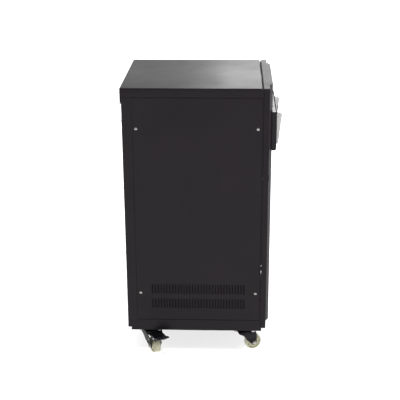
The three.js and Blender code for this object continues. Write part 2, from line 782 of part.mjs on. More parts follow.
function wheelMotor(z) {
  const face = CRADLE_INNER + CRADLE_PLATE + TOUCH;
  return cut(
    join(
      rod("x", 30, NIP_Y, z, face, face + 62),
      rod("x", 22, NIP_Y, z, face + 61, face + 70, 20),
    ),
    rod("x", SHAFT_RADIUS + 1, NIP_Y, z, face - 1, face + 10, 16),
  );
}

// Upright cheeks on a foot plate that carry the cradle's stub shafts.
function tiltStand() {
  const foot = box(-STAND_X - 5, STAND_X + 5, NIP_Y - 34, NIP_Y + 34, SHELF_TOP + TOUCH, SHELF_TOP + 3.3);
  const outline = [
    [NIP_Y - 34, SHELF_TOP + 1],
    [NIP_Y + 34, SHELF_TOP + 1],
    [NIP_Y + 18, NIP_Z + 10],
    [NIP_Y + 10, NIP_Z + 20],
    [NIP_Y - 10, NIP_Z + 20],
    [NIP_Y - 18, NIP_Z + 10],
  ];
  const bore = rod("x", STUB_RADIUS + 0.6, NIP_Y, NIP_Z, STAND_X - 1, STAND_X + 6, 24);
  const cheek = cut(prism("x", outline, STAND_X, STAND_X + 5), bore);
  const trimmed = cut(join(cheek, mirrorX(cheek)), box(-200, 200, -200, 200, 200, SHELF_TOP + TOUCH));
  return join(foot, trimmed);
}

// Five-lobed knob on the end of the left stub shaft that clamps the tilt.
function tiltClampKnob() {
  const lobes = Array.from({ length: 30 }, (_, i) => {
    const turn = (i / 30) * 2 * Math.PI;
    const radius = 17 + 3.5 * Math.cos(5 * turn);
    return [NIP_Y + radius * Math.cos(turn), NIP_Z + radius * Math.sin(turn)];
  });
  return cut(
    join(
      prism("x", lobes, KNOB_FACE - 26, KNOB_FACE - 12),
      rod("x", 11, NIP_Y, NIP_Z, KNOB_FACE - 13, KNOB_FACE, 24),
    ),
    rod("x", STUB_RADIUS + 0.6, NIP_Y, NIP_Z, KNOB_FACE - 5, KNOB_FACE + 1, 24),
  );
}

function shelf() {
  const half = RING_INNER - TOUCH;
  const plate = box(-half, half, -184, 202, SHELF_TOP - 2, SHELF_TOP);
  return cut(plate, rod("z", 16, 150, 150, SHELF_TOP - 3, SHELF_TOP + 1, 24));
}

function addLauncher() {
  node("launcher_shelf", BLACK_STEEL, shelf());
  node("tilt_stand", MOTOR_STEEL, tiltStand());
  node("launcher_cradle", MOTOR_STEEL, cradle());
  node("feed_ramp", HOPPER_PLASTIC, feedRamp());
  for (const [name, z] of Object.entries(WHEEL_HEIGHTS)) {
    node(name + "_throwing_tyre", RUBBER, throwingTyre(z));
    node(name + "_throwing_hub", ZINC, throwingHub(z));
    node(name + "_wheel_motor", BLACK_PLASTIC, wheelMotor(z));
  }
  node("tilt_clamp_knob", BLACK_PLASTIC, tiltClampKnob());
}

// ---------------------------------------------------------------- electrics

const BAY_FLOOR = BODY_BOTTOM + 2.1;

function battery() {
  const terminal = (x) => box(x - 6, x + 6, -18, -6, BAY_FLOOR + 93, BAY_FLOOR + 101);
  return join(
    prism("z", roundRect(-170, -20, -70, 30, 4), BAY_FLOOR, BAY_FLOOR + 94),
    terminal(-150),
    terminal(-40),
  );
}

function powerSupply() {
  const ribs = Array.from({ length: 8 }, (_, i) => {
    const y = -80 + i * 24;
    return box(40, 150, y, y + 3, BAY_FLOOR + 48, BAY_FLOOR + 60);
  });
  return join(box(40, 150, -90, 100, BAY_FLOOR, BAY_FLOOR + 49), ...ribs);
}

// Circuit board on four standoffs, with its relays, capacitors and terminal block.
function controlBoard() {
  const base = BAY_FLOOR + 8;
  const standoffs = [-152, -48].flatMap((x) =>
    [62, 148].map((y) => rod("z", 3, x, y, BAY_FLOOR, base + 1, 8)),
  );
  const parts = [
    box(-148, -116, 70, 92, base, base + 17),
    box(-148, -116, 98, 120, base, base + 17),
    box(-100, -52, 132, 144, base, base + 13),
    rod("z", 8, -96, 84, base, base + 24, 10),
    rod("z", 8, -74, 84, base, base + 24, 10),
    box(-100, -70, 100, 122, base, base + 4),
  ];
  return join(box(-158, -42, 56, 154, base, base + 1.6), ...standoffs, ...parts);
}

const FAN_REAR = 204.2;
const FAN_FRONT = FAN_REAR - 25;

function fanFrame() {
  const outline = roundRect(FAN_X - 40, FAN_X + 40, FAN_Z - 40, FAN_Z + 40, 6);
  const struts = [0, 1, 2, 3].map((i) =>
    prism("y", rect(-2, 2, 14, 39), FAN_REAR - 4, FAN_REAR)
      .rotate([0, 45 + 90 * i, 0])
      .translate([FAN_X, 0, FAN_Z]),
  );
  return join(
    cut(
      prism("y", outline, FAN_FRONT, FAN_REAR),
      rod("y", 38, FAN_X, FAN_Z, FAN_FRONT - 1, FAN_REAR + 1, 32),
    ),
    rod("y", 16, FAN_X, FAN_Z, FAN_REAR - 4, FAN_REAR),
    ...struts,
  );
}

function fanRotor() {
  const blades = Array.from({ length: 7 }, (_, i) =>
    solidFrom(new THREE.BoxGeometry(1.6, 17, 22).rotateZ(-0.6).translate(0, 0, 25))
      .rotate([0, (i * 360) / 7, 0])
      .translate([FAN_X, FAN_FRONT + 10, FAN_Z]),
  );
  return join(rod("y", 17, FAN_X, FAN_Z, FAN_FRONT + 1, FAN_REAR - 5), ...blades);
}

// Mains inlet and switch in one flanged module.
const SOCKET = { x: INLET_X - 9, halfWidth: 11.5, halfHeight: 8.5, depth: 15 };
const ROCKER = { x: INLET_X + 16, halfWidth: 6, halfHeight: 10 };

function powerInlet() {
  const face = BODY_REAR + 2.8;
  const pins = [-7, 0, 7].map((dx, i) => {
    const z = INLET_Z + (i === 1 ? 2.5 : -2.5);
    return box(SOCKET.x + dx - 1, SOCKET.x + dx + 1, face - 16, face - 4, z - 2, z + 2);
  });
  const body = cut(
    join(
      prism("y", roundRect(INLET_X - 29, INLET_X + 29, INLET_Z - 18, INLET_Z + 18, 4), BODY_REAR + TOUCH, face),
      box(INLET_X - 24, INLET_X + 24, BODY_REAR - 22, BODY_REAR + 1, INLET_Z - 14, INLET_Z + 14),
    ),
    box(
      SOCKET.x - SOCKET.halfWidth,
      SOCKET.x + SOCKET.halfWidth,
      face - SOCKET.depth,
      face + 1,
      INLET_Z - SOCKET.halfHeight,
      INLET_Z + SOCKET.halfHeight,
    ),
    box(
      ROCKER.x - ROCKER.halfWidth - 0.5,
      ROCKER.x + ROCKER.halfWidth + 0.5,
      face - 12,
      face + 1,
      INLET_Z - ROCKER.halfHeight - 1,
      INLET_Z + ROCKER.halfHeight + 1,
    ),
  );
  return join(body, ...pins);
}

function powerSwitch() {
  const face = BODY_REAR + 2.8;
  const outline = [
    [face - 8, INLET_Z - 6],
    [face - 2.2, INLET_Z - ROCKER.halfHeight + 0.5],
    [face + 0.4, INLET_Z - ROCKER.halfHeight + 0.9],
    [face - 1.2, INLET_Z],
    [face + 2.2, INLET_Z + ROCKER.halfHeight - 0.9],
    [face - 0.6, INLET_Z + ROCKER.halfHeight - 0.5],
    [face - 8, INLET_Z + 6],
  ];
  return prism("x", outline, ROCKER.x - ROCKER.halfWidth, ROCKER.x + ROCKER.halfWidth);
}

function addElectrics() {
  node("battery", BLACK_PLASTIC, battery());
  node("power_supply", ZINC, powerSupply());
  node("control_board", CIRCUIT, controlBoard());
  node("fan_frame", BLACK_PLASTIC, fanFrame());
  node("fan_rotor", BLACK_PLASTIC, fanRotor());
  node("power_inlet", BLACK_PLASTIC, powerInlet());
  node("power_switch", ACCENT_PLASTIC, powerSwitch());
}

// ---------------------------------------------------------------- casters

const CASTER = { wheelRadius: 25, trail: 27, wheelSides: 24 };
const FORK_TOP = CASTER_HEIGHT - 8.3;

// Each caster is built trailing along +X and turned to its own heading, in degrees.
const CASTERS = [
  { name: "front_left", x: -164, y: -147, heading: -70, brake: false },
  { name: "front_right", x: 164, y: -147, heading: -110, brake: false },
  { name: "rear_left", x: -164, y: 141, heading: -150, brake: true },
  { name: "rear_right", x: 164, y: 141, heading: -30, brake: true },
];

function casterPlate() {
  const top = CASTER_HEIGHT - TOUCH;
  return join(
    prism("z", roundRect(-30, 30, -34, 34, 4, 1), top - 2.5, top),
    rod("z", 20, 0, 0, FORK_TOP + TOUCH, top - 1, 20),
  );
}

// Rear edges of a fork's cheeks, from the axle up to the swivel.
const PLAIN_EDGE = [
  [19.5, 17.5],
  [4.4, 36],
  [-10, 56.5],
  [-26, 70],
  [-28, FORK_TOP],
];
const BRAKED_EDGE = [
  [17, 18.5],
  [-4, 29.5],
  [-13, 35.5],
  [-16, 43],
  [-16.5, 57],
  [-30, 65],
  [-30, FORK_TOP],
];

// Channel pressed from one sheet: wide at the swivel, drawn in to the wheel's hub, with its legs cut
// back to the axle. The braked casters have deeper cheeks.
function casterFork(brake) {
  const section = (inset) => [
    [-25 + inset, FORK_TOP - inset],
    [-25 + inset, 64],
    [-22.5 + inset, 55],
    [-16.5 + inset, 38],
    [-16.5 + inset, 10],
    [16.5 - inset, 10],
    [16.5 - inset, 38],
    [22.5 - inset, 55],
    [25 - inset, 64],
    [25 - inset, FORK_TOP - inset],
  ];
  const side = [
    [27, FORK_TOP],
    [33, 56],
    [36.5, 27],
    [34, 20],
    [28, 16.5],
    ...(brake ? BRAKED_EDGE : PLAIN_EDGE),
  ];
  const channel = cut(
    prism("x", section(0), -32, 38).intersect(prism("y", side, -26, 26)),
    prism("x", section(2.5), -33, 39),
  );
  return join(channel, rod("y", 4, CASTER.trail, CASTER.wheelRadius, -22, 22, 12));
}

// Turned so that a flat facet of the tread stands on the floor.
function casterWheel() {
  const { trail, wheelRadius, wheelSides } = CASTER;
  const step = Math.PI / wheelSides;
  const radius = wheelRadius / Math.cos(step);
  const profile = [
    [4.9, -12],
    [10, -12],
    [radius - 2, -9.5],
    [radius, -7.5],
    [radius, 7.5],
    [radius - 2, 9.5],
    [10, 12],
    [4.9, 12],
    [4.9, -12],
  ];
  return turned(profile, wheelSides)
    .rotate([0, 0, (180 / Math.PI) * step])
    .rotate([90, 0, 0])
    .translate([trail, 0, wheelRadius]);
}

// Foot pedal over the wheel. Pressing it down brings its shoe against the tread.
function brakePedal() {
  const shoe = [
    [24, 52.5],
    [38, 50.3],
    [52, 48],
    [62, 52],
    [62, 66],
    [24, 66],
  ];
  const tread = [
    [28, 59.5],
    [40, 57.5],
    [46, 53],
    [52, 50],
    [66, 54],
    [93, 73],
    [92, 76],
    [78, 72.5],
    [68, 68.5],
    [28, 66.5],
  ];
  return join(prism("y", shoe, -12.5, 12.5), prism("y", tread, -19, 19));
}

function addCasters() {
  for (const { name, x, y, heading, brake } of CASTERS) {
    const place = new THREE.Group();
    place.position.set(x, y, 0);
    place.rotation.z = THREE.MathUtils.degToRad(heading);
    machine.add(place);
    const plate = node(name + "_caster_plate", ZINC, casterPlate(), machine);
    plate.position.set(x, y, 0);
    node(name + "_caster_fork", BLACK_STEEL, casterFork(brake), place);
    node(name + "_caster_wheel", NYLON, casterWheel(), place);
    if (brake) node(name + "_brake_pedal", BLACK_STEEL, brakePedal(), place);
  }
}

addCabinet();
addLid();
addDoor();
addConsole();
addFeed();
addLauncher();
addElectrics();
addCasters();

export default machine;
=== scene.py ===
"""Looks for the tennis ball machine: materials, detailed pieces, light and camera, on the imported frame."""
import json
import math

import bmesh
import bpy
from mathutils import Matrix, Vector

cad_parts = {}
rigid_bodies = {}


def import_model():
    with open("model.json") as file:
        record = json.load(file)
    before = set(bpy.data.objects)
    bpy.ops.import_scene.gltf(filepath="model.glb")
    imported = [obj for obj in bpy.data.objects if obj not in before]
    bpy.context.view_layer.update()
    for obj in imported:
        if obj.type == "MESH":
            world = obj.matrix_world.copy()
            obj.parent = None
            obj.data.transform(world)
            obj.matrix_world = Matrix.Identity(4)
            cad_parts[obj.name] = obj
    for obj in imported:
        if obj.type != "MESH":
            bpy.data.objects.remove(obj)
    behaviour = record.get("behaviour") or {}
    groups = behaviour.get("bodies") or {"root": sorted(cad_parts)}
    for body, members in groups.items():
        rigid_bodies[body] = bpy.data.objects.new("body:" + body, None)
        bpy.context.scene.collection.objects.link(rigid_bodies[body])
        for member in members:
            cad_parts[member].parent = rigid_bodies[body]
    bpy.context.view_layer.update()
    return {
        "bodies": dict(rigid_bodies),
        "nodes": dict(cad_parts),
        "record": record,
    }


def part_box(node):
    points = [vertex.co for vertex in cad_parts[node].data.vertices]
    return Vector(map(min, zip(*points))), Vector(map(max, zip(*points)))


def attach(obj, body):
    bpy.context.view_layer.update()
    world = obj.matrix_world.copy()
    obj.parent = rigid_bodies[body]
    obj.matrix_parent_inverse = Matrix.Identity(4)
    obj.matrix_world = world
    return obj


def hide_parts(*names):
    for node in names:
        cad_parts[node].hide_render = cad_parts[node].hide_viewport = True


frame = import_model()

TAU = 2 * math.pi
JOINTS = {j["name"]: j for j in frame["record"]["behaviour"]["joints"]}
BODIES = {n: b for b, ns in frame["record"]["behaviour"]["bodies"].items() for n in ns}
SLOTS = {s["node"]: s["material_slot"] for s in frame["record"]["subparts"]}


def lo(node):
    return Vector(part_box(node)[0])


def hi(node):
    return Vector(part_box(node)[1])


def mid(node):
    return (lo(node) + hi(node)) / 2


def corners(node):
    """The two corners of a node's box, and its middle."""
    return lo(node), hi(node), mid(node)


TOP = hi("lid").z

# ------------------------------------------------------------------ materials


class Nodes:
    """A short way to write a node tree."""

    def __init__(self, name):
        self.mat = bpy.data.materials.new(name)
        self.mat.use_nodes = True
        self.tree = self.mat.node_tree
        self.tree.nodes.clear()
        self.out = self.add("ShaderNodeOutputMaterial")
        self.shader = self.add("ShaderNodeBsdfPrincipled")
        self.link(self.shader, "BSDF", self.out, "Surface")
        self.coords = self.add("ShaderNodeTexCoord")

    def add(self, kind, **values):
        node = self.tree.nodes.new(kind)
        for key, value in values.items():
            setattr(node, key, value)
        return node

    def link(self, a, out, b, socket):
        self.tree.links.new(a.outputs[out], b.inputs[socket])

    def mapped(self, scale=(1, 1, 1)):
        m = self.add("ShaderNodeMapping")
        m.inputs["Scale"].default_value = scale
        self.link(self.coords, "Object", m, "Vector")
        return m

    def noise(self, scale, detail=3, rough=0.5, stretch=(1, 1, 1)):
        n = self.add("ShaderNodeTexNoise")
        n.inputs["Scale"].default_value = scale
        n.inputs["Detail"].default_value = detail
        n.inputs["Roughness"].default_value = rough
        self.link(self.mapped(stretch), "Vector", n, "Vector")
        return n

    def voronoi(self, scale, feature="F1", stretch=(1, 1, 1)):
        n = self.add("ShaderNodeTexVoronoi", feature=feature)
        n.inputs["Scale"].default_value = scale
        self.link(self.mapped(stretch), "Vector", n, "Vector")
        return n

    def remap(self, node, out, low, high, to_low, to_high):
        r = self.add("ShaderNodeMapRange")
        for key, value in (("From Min", low), ("From Max", high), ("To Min", to_low), ("To Max", to_high)):
            r.inputs[key].default_value = value
        self.link(node, out, r, "Value")
        return r

    def ramp(self, node, out, stops):
        r = self.add("ShaderNodeValToRGB")
        e = r.color_ramp.elements
        while len(e) < len(stops):
            e.new(0.5)
        for item, (place, colour) in zip(e, stops):
            item.position = place
            item.color = (*colour, 1)
        self.link(node, out, r, "Fac")
        return r

    def mix(self, fac, a, b, blend="MIX"):
        """fac is a number or (node, output); a and b are colours or (node, output)."""
        m = self.add("ShaderNodeMix", data_type="RGBA", blend_type=blend)
        for socket, value in ((0, fac), (6, a), (7, b)):
            if isinstance(value, tuple) and hasattr(value[0], "outputs"):
                self.tree.links.new(value[0].outputs[value[1]], m.inputs[socket])
            else:
                m.inputs[socket].default_value = value if socket == 0 else (*value, 1)
        return m

    def base(self, node, out):
        self.link(node, out, self.shader, "Base Color")

    def tint(self, node, stops, out="Fac"):
        self.base(self.ramp(node, out, stops), "Color")

    def rough(self, node, *span):
        """Roughness that follows a noise. span is its range, then the range of the roughness."""
        self.link(self.remap(node, "Fac", *span), "Result", self.shader, "Roughness")

    def bump(self, node, out, depth, strength=1.0, below=None):
        """depth is the height of the relief in metres."""
        b = self.add("ShaderNodeBump")
        b.inputs["Distance"].default_value = depth
        b.inputs["Strength"].default_value = strength
        self.link(node, out, b, "Height")
        if below:
            self.link(below, "Normal", b, "Normal")
        self.link(b, "Normal", self.shader, "Normal")
        return b

    def set(self, **values):
        for key, value in values.items():
            self.shader.inputs[key.replace("_", " ")].default_value = value
        return self


def shade(colour, k):
    return tuple(min(1, c * k) for c in colour)


def powder_coat(name, colour, roughness=0.36, level=0.28, dust=0.5):
    """Semi-gloss baked paint: fine orange peel, cloudy sheen, a trace of dust."""
    n = Nodes(name)
    cloud = n.noise(5, 4)
    tone = n.ramp(cloud, "Fac", [(0.3, shade(colour, 0.88)), (0.7, shade(colour, 1.14))])
    fleck = n.noise(420, 2, 0.6)
    fleck_mask = n.remap(fleck, "Fac", 0.66, 0.78, 0, 0.35 * dust)
    mixed = n.mix((fleck_mask, "Result"), (tone, "Color"), shade(colour, 3.2))
    n.base(mixed, 2)
    sheen = n.noise(9, 5, 0.6)
    n.rough(sheen, 0.25, 0.75, roughness - 0.05, roughness + 0.06)
    peel = n.noise(1400, 2, 0.5)
    wave = n.noise(170, 2)
    below = n.bump(wave, "Fac", 0.00006, 0.25)
    n.bump(peel, "Fac", 0.00002, 0.5, below)
    n.set(Specular_IOR_Level=level)
    return n.mat


def plastic(name, colour, roughness=0.45, grain=900, depth=0.00003, level=0.45):
    """Moulded plastic with a spark-eroded grain."""
    n = Nodes(name)
    cloud = n.noise(14, 4)
    n.tint(cloud, [(0.3, shade(colour, 0.93)), (0.72, shade(colour, 1.06))])
    sheen = n.noise(30, 4)
    n.rough(sheen, 0.3, 0.7, roughness - 0.05, roughness + 0.05)
    cell = n.voronoi(grain)
    n.bump(cell, "Distance", depth, 0.6)
    n.set(Specular_IOR_Level=level)
    return n.mat


def metal(name, colour, roughness=0.32, stretch=(1, 1, 1), scale=300, spangle=False):
    """Plated or brushed metal, with drawn streaks or zinc spangle."""
    n = Nodes(name)
    if spangle:
        cells = n.voronoi(55)
        n.tint(cells, [(0.1, shade(colour, 0.82)), (0.9, shade(colour, 1.12))], "Color")
    else:
        cloud = n.noise(20, 4)
        n.tint(cloud, [(0.3, shade(colour, 0.86)), (0.7, shade(colour, 1.08))])
    streak = n.noise(scale, 4, 0.6, stretch)
    n.rough(streak, 0.3, 0.7, roughness - 0.09, roughness + 0.1)
    n.bump(streak, "Fac", 0.00002, 0.35)
    n.set(Metallic=1.0)
    return n.mat


def rubber(name, colour, level=0.25):
    n = Nodes(name)
    dust = n.noise(45, 5, 0.65)
    n.tint(dust, [(0.35, colour), (0.8, shade(colour, 2.3))])
    n.rough(dust, 0.3, 0.7, 0.66, 0.9)
    pore = n.noise(700, 3, 0.7)
    n.bump(pore, "Fac", 0.00012, 0.6)
    n.set(Specular_IOR_Level=level)
    return n.mat


def nylon(name, colour):
    """Cream caster plastic, a little translucent, with handling dirt."""
    n = Nodes(name)
    dirt = n.noise(60, 5, 0.6)
    n.tint(dirt, [(0.25, shade(colour, 0.82)), (0.5, colour), (0.8, shade(colour, 1.05))])
    n.rough(dirt, 0.3, 0.7, 0.42, 0.56)
    scuff = n.noise(500, 3, 0.6)
    n.bump(scuff, "Fac", 0.00004, 0.4)
    n.set(Subsurface_Weight=0.12, Subsurface_Scale=0.004)
    n.shader.inputs["Subsurface Radius"].default_value = (1.0, 0.9, 0.6)
    return n.mat


def glass_panel(name):
    """Smoked acrylic over a dark display, with faint smears."""
    n = Nodes(name)
    smear = n.noise(40, 4, 0.6, (1, 1, 3))
    n.tint(smear, [(0.3, (0.006, 0.008, 0.011)), (0.8, (0.012, 0.015, 0.019))])
    n.rough(smear, 0.3, 0.8, 0.05, 0.14)
    n.bump(smear, "Fac", 0.00001, 0.2)
    n.set(Coat_Weight=1.0, Coat_Roughness=0.03)
    return n.mat


def circuit(name):
    """Solder-mask green with copper runs under it."""
    n = Nodes(name)
    runs = n.voronoi(190, "DISTANCE_TO_EDGE", (1, 0.45, 1))
    mask = n.remap(runs, "Distance", 0.03, 0.07, 1, 0)
    tone = n.mix((mask, "Result"), (0.008, 0.06, 0.022), (0.02, 0.13, 0.04))
    n.base(tone, 2)
    cloud = n.noise(60)
    n.rough(cloud, 0.3, 0.7, 0.25, 0.38)
    n.bump(mask, "Result", 0.00004, 0.6)
    return n.mat


STEEL_BLACK = powder_coat("black_powder_coat", (0.0115, 0.0082, 0.0112), 0.36, 0.16)
STEEL_BLACK_DARK = powder_coat("black_caster_enamel", (0.0090, 0.0078, 0.0104), 0.46, 0.12)
STEEL_BLACK_DOOR = powder_coat("door_powder_coat", (0.0125, 0.0090, 0.0122), 0.42, 0.15)
PLASTIC_BLACK = plastic("black_moulded_plastic", (0.012, 0.012, 0.018), 0.3, 1100, 0.00002, 0.5)
PLASTIC_GLOSS = plastic("glossy_black_plastic", (0.011, 0.0100, 0.0150), 0.26, 300, 0.000004, 0.19)
PLASTIC_GREY = plastic("light_grey_plastic", (0.80, 0.80, 0.79), 0.4, 800)
PLASTIC_IVORY = plastic("ivory_plastic", (0.66, 0.66, 0.6), 0.35, 1000, 0.00001)
PLASTIC_LIME = plastic("lime_plastic", (0.34, 0.5, 0.05), 0.34, 900, 0.00002)
PLASTIC_BIN = plastic("charcoal_bin_plastic", (0.045, 0.048, 0.053), 0.5, 700, 0.00006)
PLASTIC_RED = plastic("red_plastic", (0.45, 0.025, 0.02), 0.35, 900, 0.00001)
ZINC = metal("zinc_plate", (0.66, 0.67, 0.69), 0.3, spangle=True)
BOLT = metal("nickel_bolt", (0.44, 0.43, 0.41), 0.34, (1, 1, 1), 500)
ALLOY = metal("brushed_alloy", (0.56, 0.57, 0.59), 0.34, (1, 1, 14), 120)
CASE = metal("motor_case", (0.42, 0.43, 0.45), 0.38, (14, 1, 1), 120)
RUBBER = rubber("black_rubber", (0.018, 0.018, 0.019))
# A very dark, barely reflective sheet behind the cooling slots: painted shade for the cabinet's dark inside.
VENT_SHADE = rubber("vent_painted_shade", (0.0070, 0.0062, 0.0078), 0.06)
RUBBER_TYRE = rubber("throwing_tyre_rubber", (0.026, 0.026, 0.027))
NYLON = nylon("cream_nylon", (0.60, 0.58, 0.42))
GLASS = glass_panel("smoked_display")
BOARD = circuit("circuit_board")
COPPER = metal("brass_terminal", (0.72, 0.5, 0.22), 0.3, (1, 1, 1), 400)

BY_SLOT = {
    "powder_coat": STEEL_BLACK,
    "black_plastic": PLASTIC_BLACK,
    "grey_plastic": PLASTIC_GREY,
    "button_plastic": PLASTIC_IVORY,
    "accent_plastic": PLASTIC_LIME,
    "display_glass": GLASS,
    "zinc": ZINC,
    "motor_steel": ALLOY,
    "rubber": RUBBER_TYRE,
    "nylon": NYLON,
    "hopper_plastic": PLASTIC_BIN,
    "circuit": BOARD,
}

# ------------------------------------------------------------------ mesh helpers

CORNERS = ((-1, -1), (1, -1), (1, 1), (-1, 1))
# They turn a slab to run along X with its outline in Y and Z, or along Y with its outline in X and Z.
ALONG_X = Matrix(((0, 0, 1, 0), (1, 0, 0, 0), (0, 1, 0, 0), (0, 0, 0, 1)))
ALONG_Y = Matrix(((1, 0, 0, 0), (0, 0, -1, 0), (0, 1, 0, 0), (0, 0, 0, 1)))


def put(name, data):
    """An object for a mesh, a lamp or the camera."""
    obj = bpy.data.objects.new(name, data)
    bpy.context.scene.collection.objects.link(obj)
    return obj


def put_mesh(name, bm, material):
    mesh = bpy.data.meshes.new(name)
    bm.to_mesh(mesh)
    bm.free()
    mesh.materials.append(material)
    return put(name, mesh)


def finish_mesh(name, bm, material, body, matrix=None, bevel=0.0, segments=2, smooth=True,
                angle=35):
    """Turns a bmesh into a piece that rides on a body."""
    bmesh.ops.recalc_face_normals(bm, faces=bm.faces)
    obj = put_mesh(name, bm, material)
    mesh = obj.data
    if matrix is not None:
        mesh.transform(matrix)
        if matrix.determinant() < 0:
            mesh.flip_normals()
    if bevel:
        soften(obj, bevel, segments, angle)
    elif smooth:
        mesh.shade_smooth()
        mesh.set_sharp_from_angle(angle=math.radians(angle))
    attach(obj, body)
    return obj


def soften(obj, width, segments=2, angle=35):
    b = obj.modifiers.new("edges", "BEVEL")
    b.width = width
    b.segments = segments
    b.limit_method = "ANGLE"
    b.angle_limit = math.radians(angle)
    b.harden_normals = True
    b.use_clamp_overlap = True


def thicken(obj, thickness, offset):
    s = obj.modifiers.new("sheet", "SOLIDIFY")
    s.thickness, s.offset, s.use_even_offset = thickness, offset, True


def polar(r, t):
    return r * math.cos(t), r * math.sin(t)


def circle(bm, r, z, steps):
    """A ring of vertices at a height. r is a radius, or gives one for an angle."""
    turns = [i * TAU / steps for i in range(steps)]
    return [bm.verts.new((*polar(r(t) if callable(r) else r, t), z)) for t in turns]


def bridge(bm, rings):
    """Quads from each ring of vertices to the next."""
    for a, b in zip(rings, rings[1:]):
        for i in range(len(a)):
            j = (i + 1) % len(a)
            bm.faces.new((a[i], a[j], b[j], b[i]))


def lathe(profile, steps=48, bm=None):
    """Profile of (radius, height) turned about Z. Ends on the axis or closes on itself."""
    bm = bm or bmesh.new()
    rings = [[bm.verts.new((0, 0, z))] if r < 1e-7 else circle(bm, r, z, steps) for r, z in profile]
    for a, b in zip(rings, rings[1:]):
        if len(a) == 1 and len(b) == 1:
            continue
        for i in range(steps):
            j = (i + 1) % steps
            if len(a) == 1:
                bm.faces.new((a[0], b[i], b[j]))
            elif len(b) == 1:
                bm.faces.new((a[i], b[0], a[j]))
            else:
                bm.faces.new((a[i], b[i], b[j], a[j]))
    if profile[0] == profile[-1] and profile[0][0] > 1e-7:
        bmesh.ops.remove_doubles(bm, verts=rings[0] + rings[-1], dist=1e-7)
    return bm


def slab(outline, low, high, bm=None, matrix=None):
    """An outline in X and Y between two heights."""
    bm = bm or bmesh.new()
    bottom = [bm.verts.new((x, y, low)) for x, y in outline]
    top = [bm.verts.new((x, y, high)) for x, y in outline]
    bm.faces.new(bottom[::-1])
    bm.faces.new(top)
    bridge(bm, [bottom, top])
    if matrix is not None:
        bmesh.ops.transform(bm, matrix=matrix, verts=bottom + top)
    return bm


def block(low, high, bm=None, matrix=None):
    base = [(low[0], low[1]), (high[0], low[1]), (high[0], high[1]), (low[0], high[1])]
    return slab(base, low[2], high[2], bm, matrix)


def round_rect(w, h, r):
    """A rectangle about the middle with rounded corners, from its half sizes."""
    steps = 5
    points = []
    for k, (x, y) in enumerate(((w - r, h - r), (r - w, h - r), (r - w, r - h), (w - r, r - h))):
        for i in range(steps + 1):
            a, b = polar(r, (k + i / steps) * math.pi / 2)
            points.append((x + a, y + b))
    return points


def tube(path, radius, closed=False):
    """A round wire along a path."""
    steps = 8
    bm = bmesh.new()
    points = [Vector(p) for p in path]
    n = len(points)
    rings = []
    for i, p in enumerate(points):
        a = points[(i - 1) % n] if closed or i else p
        b = points[(i + 1) % n] if closed or i < n - 1 else p
        t = (b - a).normalized()
        side = t.orthogonal().normalized() if not rings else (last - t * last.dot(t)).normalized()
        last = side
        up = t.cross(side)
        offsets = [polar(radius, k * TAU / steps) for k in range(steps)]
        rings.append([bm.verts.new(p + side * x + up * y) for x, y in offsets])
    bridge(bm, rings + rings[:1] if closed else rings)
    if not closed:
        bm.faces.new(rings[0][::-1])
        bm.faces.new(rings[-1])
    return bm


def picture_frame(sections, cz):
    """A frame about the height cz, lofted round its own section from (outline in X and Z, Y) pairs."""
    bm = bmesh.new()
    rings = [[bm.verts.new((x, y, z + cz)) for x, z in outline] for outline, y in sections]
    bridge(bm, rings + rings[:1])
    return bm


def facing(origin, direction):
    """A matrix whose local +Z points along direction, at origin."""
    z = Vector(direction).normalized()
    x = Vector((0, 0, 1)).cross(z)
    x = x.normalized() if x.length > 1e-6 else z.orthogonal().normalized()
    y = z.cross(x)
    m = Matrix((x, y, z)).transposed().to_4x4()
    m.translation = Vector(origin)
    return m


def pan_screw(name, at, direction, body, radius=0.0044, height=0.0023, material=None, turn=0.4):
    """Pan-head screw with a cross recess."""
    m = facing(at, direction) @ Matrix.Rotation(turn, 4, "Z")
    steps = 32
    bm = bmesh.new()
    profile = ((1.0, 0.0), (1.0, 0.22), (0.93, 0.55), (0.72, 0.85))
    rings = [circle(bm, radius * a, height * b, steps) for a, b in profile]
    bridge(bm, rings)
    bm.faces.new(rings[0][::-1])
    # The top closes on a cross: 12 corner points, each joined to a stretch of the last ring.
    arm, half = radius * 0.62, radius * 0.13
    cross = []
    for q in range(4):
        c, s = polar(1, q * math.pi / 2)
        for x, y in ((arm, -half), (arm, half), (half, half)):
            cross.append((x * c - y * s, x * s + y * c))
    rim = [bm.verts.new((x, y, height)) for x, y in cross]
    floor = [bm.verts.new((x * 0.8, y * 0.8, height * 0.5)) for x, y in cross]
    heading = [v.co.xy.normalized() for v in rings[-1]]
    marks = []
    for v in rim:
        away = [(h - v.co.xy.normalized()).length for h in heading]
        marks.append(away.index(min(away)))
    for k in range(12):
        j = (k + 1) % 12
        span = (marks[j] - marks[k]) % steps
        outer = [rings[-1][(marks[k] + i) % steps] for i in range(span + 1)]
        bm.faces.new([rim[k], *outer, rim[j]])
        bm.faces.new((rim[j], floor[j], floor[k], rim[k]))
    bm.faces.new(floor)
    return finish_mesh(name, bm, material or BOLT, body, m, angle=30)


